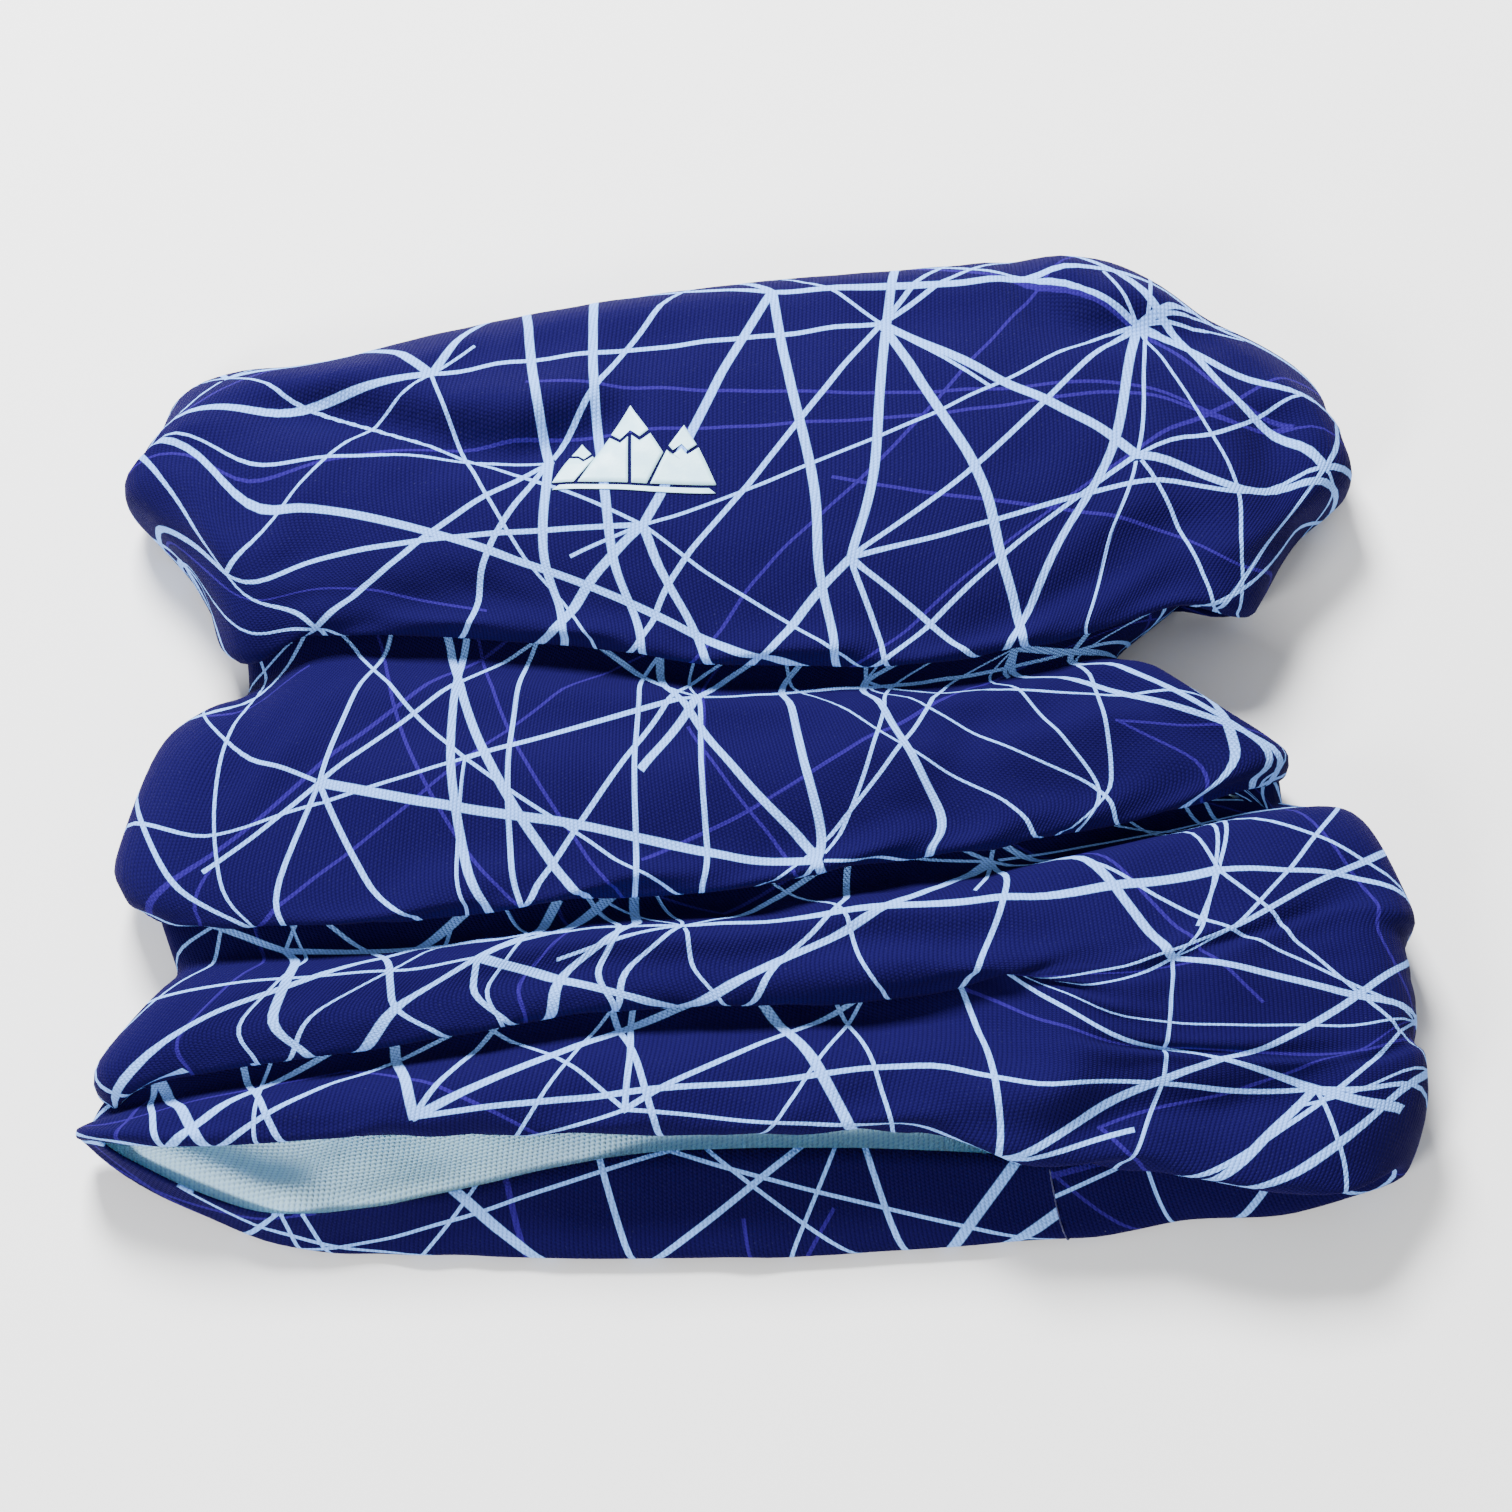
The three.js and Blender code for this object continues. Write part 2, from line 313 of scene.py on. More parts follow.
def gaiter_stations() -> list[Station]:
    """Every ring of the sleeve from the upper hem to the lower hem.

    Returns:
        The stations, in order along the cloth.
    """
    top, collar, middle, roll, hem, foot, raw = Edge
    stations = [
        Station(top, collar, 0, 6, 1.0, -117, 113, shift=0.5),
        Station(top, collar, 0, 13, 0.7, -119, 115, shift=-2.5),
        Station(top, collar, 0, 20.5, 0.5, -121, 116, shift=-10),
        Station(top, collar, 0.3, 25.5, 0.5, -124, 117, shift=-2),
        Station(top, collar, 0.6, 26.5, 0.5, -125, 118),
        Station(top, collar, 0.8, 25.8, 0.5, -118, 108),
    ]
    stations += fold(collar, middle, (-104, 97), (-96, 78), (24.5, 20.5, 16.2, 12.6), 54, (0.62, 0.9))
    stations += [
        Station(collar, middle, 0, 15.5, 4.0, -99, 70, shift=-3),
        Station(collar, middle, 0.17, 21.0, 1.6, -105, 77, shift=-1),
        Station(collar, middle, 0.5, 25.5, 0.6, -115, 90),
    ]
    stations += fold(middle, roll, (-117, 98), (-110, 103), (24, 19.5, 15.2, 11.2), 37, (0.62, 2.2))
    stations += [
        Station(middle, roll, 0.08, 13.5, 3.4, -110, 109),
        Station(middle, roll, 0.22, 16.5, 1.6, -109, 115, loose=(0.15, 21)),
        Station(middle, roll, 0.4, 22.5, 0.8, -113, 119, loose=(0.35, 25.5)),
    ]
    stations += fold(
        roll, hem, (-118, 122), (-121, 123), (23, 18.5, 15.5, 12.5), 15, loose=(-0.3, 0.42, 26.5)
    )
    stations += [
        Station(roll, hem, 0.1, 14.5, 2.6, -123, 124, back=(roll, foot, 0.48, 0), loose=(0.5, 26.2)),
        Station(roll, hem, 0.36, 19.5, 1.0, -124, 124, back=(roll, foot, 0.74, 0), loose=(0.6, 25.5)),
        Station(roll, hem, 0.66, 21.8, 0.6, -125, 122, back=(roll, foot, 0.93, 0), loose=(0.74, 24)),
        Station(roll, hem, 0.88, 21.0, 1.6, -125, 120, back=(foot, foot, 0, 0.0), loose=(0.88, 20.5)),
        Station(hem, hem, 0, 18.5, 5.0, -124, 117, back=(foot, raw, 0.35, 0)),
        Station(hem, hem, 0, 16.0, 8.5, -122, 114, shift=0.8, back=(raw, raw, 0, 0.0)),
    ]
    return stations


class Band(Enum):
    """The stretches of the sleeve that creases are pressed into, by station from and to."""

    UPPER = (0.0, 8.4)
    MIDDLE = (17.0, 22.6)
    LOWER = (31.0, 36.5)
    WHOLE_LOWER = (31.0, 47.6)
    MOUTH = (42.5, 49.5)


@dataclass(frozen=True)
class Crease:
    """A listed crease, in millimetres.

    Its height dies away as a bell on each side of its way. On the right of the way it may also
    fall into a valley, so that the cloth on the left stands over it.
    """

    band: Band
    way: Points
    height: float
    left: float
    right: float
    drop: float = 0.0
    inside: bool = False

    def rise(self, x: np.ndarray, y: np.ndarray) -> np.ndarray:
        """The height it adds at each point, in millimetres.

        With s the distance to the left of the way, the rise is the height times the bell of s
        over the width of that side, less the drop times a bell centred one and a half right
        widths to the right. Both fade out over the first and last sixth of the way.

        Args:
            x: the places across.
            y: the places along the gaiter.

        Returns:
            The rise at each place.
        """
        way = np.array(self.way, float)
        start, step = way[:-1], np.diff(way, axis=0)
        length = np.linalg.norm(step, axis=1)
        walked = np.concatenate([[0], np.cumsum(length)])
        from_x, from_y = x[..., None] - start[:, 0], y[..., None] - start[:, 1]
        share = np.clip((from_x * step[:, 0] + from_y * step[:, 1]) / length**2, 0, 1)
        off_x, off_y = from_x - share * step[:, 0], from_y - share * step[:, 1]
        distance = np.hypot(off_x, off_y)
        k = np.argmin(distance, axis=-1)[..., None]
        side = np.take_along_axis(np.sign(step[:, 0] * off_y - step[:, 1] * off_x), k, axis=-1)[..., 0]
        s = np.take_along_axis(distance, k, axis=-1)[..., 0] * side
        run = (walked[k[..., 0]] + length[k[..., 0]] * np.take_along_axis(share, k, axis=-1)[..., 0]) / walked[-1]
        bell = np.exp(-((s / np.where(s > 0, self.left, self.right)) ** 2))
        valley = np.exp(-(((s + 1.5 * self.right) / (1.3 * self.right)) ** 2))
        return (self.height * bell - self.drop * valley) * smoothstep(run, 0, 0.17) * smoothstep(1 - run, 0, 0.17)


def creases() -> list[Crease]:
    """Every crease and roll of the lying gaiter.

    Returns:
        The creases, from the upper band down to the mouth.
    """
    upper, middle, lower, whole, mouth = Band
    return [
        Crease(
            upper, ((-104, 71), (-86, 69), (-70, 64.5), (-60, 61), (-48, 58), (-38, 61), (-22, 68)),
            3.2, 8, 3.2, 5.2,
        ),
        Crease(upper, ((-114, 52), (-108, 40), (-105, 30), (-102, 20), (-98, 8)), 2.4, 6, 3, 2.0),
        Crease(upper, ((57, 108), (59, 98), (61, 90), (66, 86), (75, 87), (94, 86)), 3.0, 6, 3.0, 4.8),
        Crease(upper, ((42, 90), (42, 52), (41, 12)), 0.7, 2.4, 2.4),
        Crease(upper, ((-42, 34), (9, 32), (42, 28)), 0.6, 2.4, 2.4),
        Crease(upper, ((-96, 15), (-82, 22), (-65, 27.5), (-45, 29)), 1.2, 5, 3, 0.9),
        Crease(upper, ((104, 66), (103, 56), (105, 46), (103, 34), (98, 28)), -3.0, 3, 3),
        Crease(upper, ((88, 72), (94, 58), (88, 40), (92, 26)), 0.9, 4, 4),
        Crease(upper, ((-118, 62), (-100, 66), (-84, 74)), -1.2, 4, 4),
        Crease(middle, ((-98, 12), (-104, -2), (-109, -18), (-111, -34)), 1.5, 4, 3, 1.0),
        Crease(middle, ((-60, 12), (-60, -14), (-57, -42)), 0.7, 2.4, 2.4),
        Crease(middle, ((56, 12), (70, 7), (82, 0), (94, -9)), 1.5, 5, 2.4, 2.2),
        Crease(middle, ((60, -27), (79, -19), (96, -9)), -1.2, 2.6, 2.6),
        Crease(middle, ((-30, 2), (0, -6), (34, -8)), 0.8, 8, 5),
        Crease(lower, ((-4, -36.5), (17, -42.5), (34, -44), (60, -45)), 1.5, 6, 2.8, 1.2),
        Crease(lower, ((68, -24), (94, -36), (110, -45)), 0.7, 2.4, 2.4),
        Crease(whole, ((36, -88), (17, -79), (-12, -73)), -1.5, 3, 3),
        Crease(whole, ((36, -87), (24, -70), (6, -52)), -1.4, 3.4, 3.4),
        Crease(whole, ((34, -89), (46, -82), (72, -77), (104, -74)), 1.5, 5, 2.6, 1.6),
        Crease(whole, ((36, -88), (40, -72), (54, -60)), -1.1, 3, 3),
        Crease(whole, ((90, -100), (88, -90), (84, -76)), -1.4, 3, 3),
        Crease(whole, ((70, -52), (96, -58), (118, -56)), 0.9, 5, 5),
        Crease(whole, ((110, -30), (115, -52), (112, -80)), -0.9, 4, 4),
        Crease(mouth, ((-118, -82), (-104, -88), (-92, -93), (-80, -99)), 8.0, 3.6, 3.2, 2.0, True),
        Crease(mouth, ((-66, -80), (-76, -87), (-88, -95)), 6.4, 3.4, 3.0, 2.4, True),
        Crease(mouth, ((-84, -97), (-66, -94), (-44, -91), (-18, -85)), 6.6, 3.4, 3.0, 2.0, True),
        Crease(mouth, ((-58, -85), (-40, -83), (-14, -78)), 5.2, 3.2, 3.0, 1.0, True),
    ]


@dataclass
class Sleeve:
    """The one panel of jersey, closed into a tube and gathered. Lengths are in metres."""

    circumference: float = 0.5
    length: float = 0.48
    thickness: float = 0.0007
    columns: int = 98
    row_pitch: float = 0.0044
    seam_across: float = 0.061
    settle_frames: int = 14
    settle_cap: float = 0.004
    floor_skin: float = 0.0005
    least_rise: float = 0.0008
    crest: float = 0.019
    seam_depth: float = 0.0006
    seam_width: float = 0.0014
    bed_gap: float = 0.0001
    front_round: float = 3.6
    back_round: float = 9.0
    front_share: float = 0.58
    back_share: float = 0.42
    grid: np.ndarray = field(default_factory=lambda: np.zeros((0, 0, 3)))
    cloth_u: np.ndarray = field(default_factory=lambda: np.zeros(0))
    cloth_v: np.ndarray = field(default_factory=lambda: np.zeros(0))
    print_v: np.ndarray = field(default_factory=lambda: np.zeros((0, 0)))
    row_stations: np.ndarray = field(default_factory=lambda: np.zeros(0))

    def section(self) -> tuple[np.ndarray, np.ndarray]:
        """The section of the lying tube, from the seam round by the right, front and left.

        A flattened oval: a point at a share of the half width stands away from the middle plane
        by the root of one less the power of that share. The power is low in front, which is
        round, and high on the back, which lies flat. The columns are spaced evenly round it.

        Returns:
            The share of the half width and the share of the height of each column.
        """
        angle = np.linspace(0, 2 * math.pi, 4001)
        across = np.cos(angle)
        side = np.sin(angle)
        across = np.sign(across) * np.abs(across) ** 0.45
        power = np.where(side >= 0, self.front_round, self.back_round)
        stand = (1 - np.abs(across) ** power) ** (1 / power)
        high = self.back_share + np.where(side >= 0, self.front_share * stand, -self.back_share * stand)
        step = np.hypot(np.diff(across) * HALF_WIDTH, np.diff(high) * FRONT_HEIGHT)
        walked = np.concatenate([[0], np.cumsum(step)])
        back = np.flatnonzero((side < 0) & (across > self.seam_across / (HALF_WIDTH * MM)))
        start = walked[back[0]]
        want = (start + np.arange(self.columns) / self.columns * walked[-1]) % walked[-1]
        return np.interp(want, walked, across), np.interp(want, walked, high)

    def laid(self) -> np.ndarray:
        """The rings of all the stations, carried along the cloth as smooth curves.

        Each column of the sleeve passes through its point of every station. Rows are set along
        it so that they are no further apart than the row pitch, with at least two to a span.

        Returns:
            The grid of points, rows by columns by three, in metres.
        """
        across, high = self.section()
        rings = []
        for station in gaiter_stations():
            x = station.left + (station.right - station.left) * (across + 1) / 2
            fade = 1 - np.where(x < 0, *station.fades) * np.abs(x / FOLD_REACH) ** 3
            front = (1 - station.share) * station.upper.line(x) + station.share * station.lower.line(x)
            front = front + station.shift + station.reach * fade
            lift, bed = np.full_like(x, station.lift), np.full_like(x, station.bed)
            lean = station.lean * (1 - high) ** 1.5
            if station.loose:
                share, height = station.loose
                plain = (1 - share) * station.upper.line(x) + share * station.lower.line(x)
                open_out = smoothstep(x, PLAIN_FROM, PLAIN_TO)
                front = front + (plain - front) * open_out
                lift = lift + (height - lift) * open_out
                lean = 0
                if not station.back:
                    bed = bed + (0.6 - bed) * open_out
            back = front
            if station.back:
                one, two, share, shift = station.back
                back = (1 - share) * one.line(x) + share * two.line(x) + shift
            y = back + (front - back) * high**1.2 + lean
            z = bed + (lift - bed) * high
            rings.append(np.stack([x, y, z], axis=1))
        rings = np.array(rings) * MM
        spans = np.linalg.norm(np.diff(rings, axis=0), axis=2).mean(axis=1)
        counts = np.maximum(2, np.round(spans / self.row_pitch)).astype(int)
        rows = [i + np.arange(n) / n for i, n in enumerate(counts)]
        self.row_stations = np.concatenate(rows + [[len(rings) - 1]])
        return refine(rings, self.row_stations, axis=0, wraps=False)

    def settled(self, laid: np.ndarray) -> np.ndarray:
        """Lets the laid cloth settle on the floor, and keeps its folds where they were laid.

        Every point is held to its place by a spring, slackest on the crests of the folds. The
        cloth is given a little more length than it was laid with, which buckles into wrinkles.
        No point moves further than the cap.

        Args:
            laid: the grid of points as laid.

        Returns:
            The grid of points after the cloth has settled.
        """
        self.grid = laid
        rows, columns = laid.shape[:2]
        self.print_v = np.zeros((rows, columns))
        self.cloth_u = np.linspace(0, self.circumference, columns + 1)
        piece = self.piece("settling_cloth")
        hold = piece.vertex_groups.new(name="hold")
        slack = smoothstep(laid[:, :, 2], 0.016, 0.024)
        weight = (0.62 - 0.4 * slack).ravel()
        for level in np.unique(np.round(weight, 2)):
            hold.add(np.flatnonzero(np.round(weight, 2) == level).tolist(), float(level), "REPLACE")
        floor_mesh = bpy.data.meshes.new("settling_floor")
        corners = [(x, y, -self.floor_skin) for x, y in ((-1, -1), (1, -1), (1, 1), (-1, 1))]
        floor_mesh.from_pydata(corners, [], [(0, 1, 2, 3)])
        floor = placed("settling_floor", floor_mesh)
        floor.modifiers.new("collision", "COLLISION")
        floor.collision.thickness_outer = self.floor_skin
        cloth = piece.modifiers.new("cloth", "CLOTH")
        how = cloth.settings
        how.quality = 7
        how.mass = 0.15
        how.tension_stiffness = how.compression_stiffness = 12
        how.shear_stiffness = 6
        how.bending_stiffness = 0.3
        how.vertex_group_mass = "hold"
        how.pin_stiffness = 1.0
        how.shrink_min = -0.012
        cloth.collision_settings.use_self_collision = True
        cloth.collision_settings.self_distance_min = 0.0009
        cloth.collision_settings.distance_min = 0.0006
        scene = bpy.context.scene
        scene.frame_start, scene.frame_end = 1, self.settle_frames
        cloth.point_cache.frame_start, cloth.point_cache.frame_end = 1, self.settle_frames
        for frame_number in range(1, self.settle_frames + 1):
            scene.frame_set(frame_number)
        seen = piece.evaluated_get(bpy.context.evaluated_depsgraph_get()).data
        moved = np.empty(len(seen.vertices) * 3, np.float32)
        seen.vertices.foreach_get("co", moved)
        scene.frame_set(1)
        for done in (piece, floor):
            data = done.data
            bpy.data.objects.remove(done)
            bpy.data.meshes.remove(data)
        shift = moved.reshape(laid.shape) - laid
        far = np.linalg.norm(shift, axis=2, keepdims=True)
        LOG.info("settled by %.2f mm on average and %.2f mm at most", far.mean() * 1000, far.max() * 1000)
        return laid + shift * np.minimum(1, self.settle_cap / np.maximum(far, 1e-9))

    def build(self) -> Thing:
        """Lays, settles and creases the cloth, and makes it one closed piece.

        Returns:
            The cloth, with both faces dressed and a live wall.
        """
        coarse = self.laid()
        LOG.info("laid %d rows by %d columns", *coarse.shape[:2])
        coarse = self.settled(coarse)
        rows, columns = coarse.shape[:2]
        fine = refine(coarse, np.arange(2 * rows - 1) / 2, axis=0, wraps=False)
        self.grid = refine(fine, np.arange(2 * columns) / 2, axis=1, wraps=True)
        step = np.linalg.norm(np.diff(self.grid, axis=0), axis=2)
        walked = np.concatenate([np.zeros((1, 2 * columns)), np.cumsum(step, axis=0)])
        LOG.info("%d rows by %d columns, mean length along the cloth %.3f m", *self.grid.shape[:2], walked[-1].mean())
        self.cloth_v = walked.mean(axis=1) / walked[-1].mean() * self.length
        station = np.interp(np.arange(2 * rows - 1) / 2, np.arange(rows), self.row_stations)
        self.print_v = self.print_places(walked, station)
        self.cloth_u = np.arange(2 * columns + 1) / (2 * columns) * self.circumference
        self.press_creases(station)
        self.soften(2)
        dip = self.seam_dip() * (1 - self.turned(self.cloth_v)[:, None])
        self.grid = self.grid - self.normals() * dip[:, :, None]
        cloth = self.piece("gaiter_cloth")
        face = PrintedJersey()
        face.lines.mark(cloth.data)
        face.faint.mark(cloth.data)
        cloth.data.materials.append(face.material())
        cloth.data.materials.append(PlainJersey().material())
        wall = cloth.modifiers.new("wall", "SOLIDIFY")
        wall.thickness, wall.offset, wall.use_even_offset = self.thickness, -1, False
        wall.material_offset, wall.material_offset_rim = 1, 0
        return cloth

    def press_creases(self, station: np.ndarray) -> None:
        """Presses every crease into the front, or into the layer that lies on the floor.

        All the layers of a tuck in the front move together. A crease fades out at the ends of its
        band.

        Args:
            station: the station that each row lies at.
        """
        high = np.repeat(self.section()[1], 2)
        front, under = smoothstep(high, 0.5, 0.85), 1 - smoothstep(high, 0.05, 0.3)
        x, y = self.grid[:, :, 0] / MM, self.grid[:, :, 1] / MM
        total = np.zeros_like(x)
        for crease in creases():
            low, high = crease.band.value
            band = smoothstep(station, low - 0.5, low + 0.5) * (1 - smoothstep(station, high - 0.5, high + 0.5))
            total += crease.rise(x, y) * band[:, None] * (under if crease.inside else front)
        z = np.maximum(self.grid[:, :, 2] + total * MM, self.least_rise)
        self.grid = np.concatenate([self.grid[:, :, :2], z[:, :, None]], axis=2)

    def soften(self, times: int) -> None:
        """Rounds folds that are sharper than the cloth is thick. The hems stay.

        Each point moves to the mean of itself and its neighbours, round and along, weighted one,
        two, one.

        Args:
            times: how often that is done.
        """
        for _ in range(times):
            self.grid = (np.roll(self.grid, 1, axis=1) + 2 * self.grid + np.roll(self.grid, -1, axis=1)) / 4
            inner = (self.grid[:-2] + 2 * self.grid[1:-1] + self.grid[2:]) / 4
            self.grid = np.concatenate([self.grid[:1], inner, self.grid[-1:]])

    def print_places(self, walked: np.ndarray, station: np.ndarray) -> np.ndarray:
        """The print's place along the cloth at each point.

        Every column is in step at the middle row of each band. From there the print runs at the
        cloth's own length along each column, and what is over is taken up inside the tucks.

        Args:
            walked: the length along each column.
            station: the station that each row lies at.

        Returns:
            The place along the cloth of each point, in metres.
        """
        middles, turns, reaches = (3.5, 19.5, 32.0, 49.0), (12.5, 26.0, 40.5), (2.5, 2.5, 7.5)
        # Fine wrinkles are left out, so that they stretch the print as they do on the cloth.
        order = np.arange(walked.shape[1] // 2 + 1)
        walked = np.fft.irfft(np.fft.rfft(walked, axis=1) * np.exp(-((order / 4) ** 2)), walked.shape[1], axis=1)
        total = np.zeros_like(walked)
        for k, middle in enumerate(middles):
            row = int(np.argmin(np.abs(station - middle)))
            before, after = np.ones_like(station), np.zeros_like(station)
            if k:
                before = smoothstep(station, turns[k - 1] - reaches[k - 1], turns[k - 1] + reaches[k - 1])
            if k < len(turns):
                after = smoothstep(station, turns[k] - reaches[k], turns[k] + reaches[k])
            total += (before - after)[:, None] * (self.cloth_v[row] + walked - walked[row])
        return total

    def normals(self) -> np.ndarray:
        """The outward direction at each point: the cross product of the ways round and along.

        Returns:
            A unit vector for each point of the grid.
        """
        around = np.roll(self.grid, -1, axis=1) - np.roll(self.grid, 1, axis=1)
        down = np.gradient(self.grid, axis=0)
        made = np.cross(around, down)
        return made / np.maximum(np.linalg.norm(made, axis=2, keepdims=True), 1e-12)

    def turned(self, v: np.ndarray) -> np.ndarray:
        """How near a place along the cloth is to the cuff's turn, from 0 to 1."""
        return smoothstep(v, self.length - 0.034, self.length - 0.02)

    def seam_dip(self) -> np.ndarray:
        """How far the cloth dips at each column: a bell where its two edges are sewn.

        Returns:
            The depth at each column, in metres.
        """
        count = self.grid.shape[1]
        column = np.arange(count)
        away = np.minimum(column, count - column) * self.circumference / count
        return self.seam_depth * np.exp(-((away / self.seam_width) ** 2))

    def on_cloth(self, u: np.ndarray, v: np.ndarray, height: np.ndarray | float) -> np.ndarray:
        """Points at a height above the outer face of the cloth, and never below the floor.

        Args:
            u: places round the flat cloth from the seam, in metres.
            v: places along the flat cloth from the upper hem, in metres.
            height: how far out of the face each point stands.

        Returns:
            The points, in the shape of u with an axis of coordinates added.
        """
        rows, columns = self.grid.shape[:2]
        full = np.concatenate([self.grid, self.normals()], axis=2)
        row = np.clip(np.interp(v, self.cloth_v, np.arange(rows)), 0, rows - 1.0001)
        column = (u / self.circumference * columns) % columns
        j, i = np.floor(row).astype(int), np.floor(column).astype(int)
        s, t = (row - j)[..., None], (column - i)[..., None]
        near, far = i % columns, (i + 1) % columns
        value = (1 - s) * ((1 - t) * full[j, near] + t * full[j, far]) + s * (
            (1 - t) * full[j + 1, near] + t * full[j + 1, far]
        )
        out = value[..., 3:] / np.linalg.norm(value[..., 3:], axis=-1, keepdims=True)
        made = value[..., :3] + out * np.asarray(height)[..., None]
        made[..., 2] = np.maximum(made[..., 2], self.bed_gap)
        return made

    def front_place(self, x: float, y: float) -> tuple[float, float, float, float]:
        """The place on the flat cloth under a point of the front, and the stretch there.

        Args:
            x: the point's place across.
            y: the point's place along the gaiter.

        Returns:
            The place round and along the flat cloth, and how many metres of room each metre of
            flat cloth takes up round and along there.
        """
        high = self.grid[:, :, 2] > self.crest
        off = np.hypot(self.grid[:, :, 0] - x, self.grid[:, :, 1] - y) + np.where(high, 0, 1)
        j, i = np.unravel_index(np.argmin(off), off.shape)
        across = np.linalg.norm(self.grid[j, i + 4] - self.grid[j, i - 4])
        along = np.linalg.norm(self.grid[j + 4, i] - self.grid[j - 4, i])
        stretch_u = across / (self.cloth_u[i + 4] - self.cloth_u[i - 4])
        stretch_v = along / (self.cloth_v[j + 4] - self.cloth_v[j - 4])
        return float(self.cloth_u[i]), float(self.cloth_v[j]), float(stretch_u), float(stretch_v)

    def piece(self, name: str) -> Thing:
        """The grid as a mesh object, with its flat cloth in metres as its UV map.

        Args:
            name: the piece's name.

        Returns:
            The object, closed round and open at both hems.
        """
        rows, columns = self.grid.shape[:2]
        j, i = np.meshgrid(np.arange(rows - 1), np.arange(columns), indexing="ij")
        corner = [(j, i), (j, i + 1), (j + 1, i + 1), (j + 1, i)]
        faces = np.stack([(a * columns + b % columns).ravel() for a, b in corner], axis=1)
        places = [np.stack([self.cloth_u[b], self.print_v[a, b % columns]], axis=-1) for a, b in corner]
        uv = np.stack([place.reshape(-1, 2) for place in places], axis=1)
        return skin_piece(name, self.grid.reshape(-1, 3), faces, uv)


# ---- Finishes -------------------------------------------------------------------------------


class Nodes:
    """A thin hand for wiring a material's nodes."""

    def __init__(self, name: str) -> None:
        """Starts a material that holds one Principled shader.

        Args:
            name: the material's name.
        """
        self.made = bpy.data.materials.new(name)
        self.made.use_nodes = True
        self.tree = self.made.node_tree
        self.shader = self.tree.nodes["Principled BSDF"]

    def set(self, target: Socket, value: object) -> None:
        """Links a socket to another node's output, or sets its plain value.

        Args:
            target: the socket to set.
            value: the other node's output, or the plain value.
        """
        if isinstance(value, Socket):
            self.tree.links.new(value, target)
        else:
            target.default_value = value

    def math(self, operation: str, *values: object) -> Socket:
        """A Math node of up to three inputs.

        Args:
            operation: what the node works out.
            values: its inputs, each a plain value or another node's output.

        Returns:
            Its output.
        """
        node = self.tree.nodes.new("ShaderNodeMath")
        node.operation = operation
        for socket, value in zip(node.inputs, values):
            self.set(socket, value)
        return node.outputs[0]

    def vector(self, operation: str, *values: object, out: str = "Vector") -> Socket:
        """A Vector Math node of up to three inputs.

        Args:
            operation: what the node works out.
            values: its inputs, each a plain value or another node's output.
            out: the output that is wanted.

        Returns:
            That output.
        """
        node = self.tree.nodes.new("ShaderNodeVectorMath")
        node.operation = operation
        for socket, value in zip(node.inputs, values):
            self.set(socket, value)
        return node.outputs[out]

    def mix(self, share: object, one: object, two: object) -> Socket:
        """A colour mixed from one to two by a share.

        Args:
            share: how much of the second colour there is, from 0 to 1.
            one: the first colour.
            two: the second colour.

        Returns:
            The mixed colour.
        """
        node = self.tree.nodes.new("ShaderNodeMix")
        node.data_type = "RGBA"
        for socket, value in zip((node.inputs[0], node.inputs[6], node.inputs[7]), (share, one, two)):
            self.set(socket, value)
        return node.outputs[2]

    def ease(
        self, value: object, low: float, high: float, to: tuple[float, float] = (0.0, 1.0)
    ) -> Socket:
        """A value mapped from low and high to the two ends, eased between them.

        Args:
            value: the value to map.
            low: where the first end holds.
            high: where the second end holds.
            to: the two ends.

        Returns:
            The mapped value.
        """
        node = self.tree.nodes.new("ShaderNodeMapRange")
        node.interpolation_type = "SMOOTHSTEP"
        for socket, each in zip(node.inputs, (value, low, high, *to)):
            self.set(socket, each)
        return node.outputs[0]

    def noise(self, place: object, scale: float, detail: float = 3.0) -> Socket:
        """Noise from 0 to 1.

        Args:
            place: where each point lies.
            scale: how many features there are to a metre.
            detail: how many finer layers are added.

        Returns:
            The noise.
        """
        node = self.tree.nodes.new("ShaderNodeTexNoise")
        self.set(node.inputs["Vector"], place)
        node.inputs["Scale"].default_value = scale
        node.inputs["Detail"].default_value = detail
        return node.outputs["Fac"]

    def flat_cloth(self) -> Socket:
        """The UV map of a piece, as its place on the flat cloth.

        Returns:
            The place, in metres.
        """
        node = self.tree.nodes.new("ShaderNodeUVMap")
        node.uv_map = "cloth"
        return node.outputs[0]

    def attribute(self, name: str) -> Socket:
        """A vector attribute of the mesh.

        Args:
            name: the attribute's name.

        Returns:
            Its value.
        """
        node = self.tree.nodes.new("ShaderNodeAttribute")
        node.attribute_name = name
        return node.outputs["Vector"]

    def bump(self, height: object, depth: float, strength: float = 1.0) -> None:
        """Raises the surface by a height map.

        Args:
            height: the height, from 0 to 1.
            depth: how deep the map is, in metres.
            strength: the share of it that shows.
        """
        node = self.tree.nodes.new("ShaderNodeBump")
        node.inputs["Distance"].default_value = depth
        node.inputs["Strength"].default_value = strength
        self.set(node.inputs["Height"], height)
        self.tree.links.new(node.outputs[0], self.shader.inputs["Normal"])

    def surface(self, **values: object) -> bpy.types.Material:
        """Sets the shader's sockets, and gives the material.

        Args:
            values: the value of each socket, named with underscores for spaces.

        Returns:
            The material.
        """
        for name, value in values.items():
            self.set(self.shader.inputs[name.replace("_", " ")], value)
        return self.made


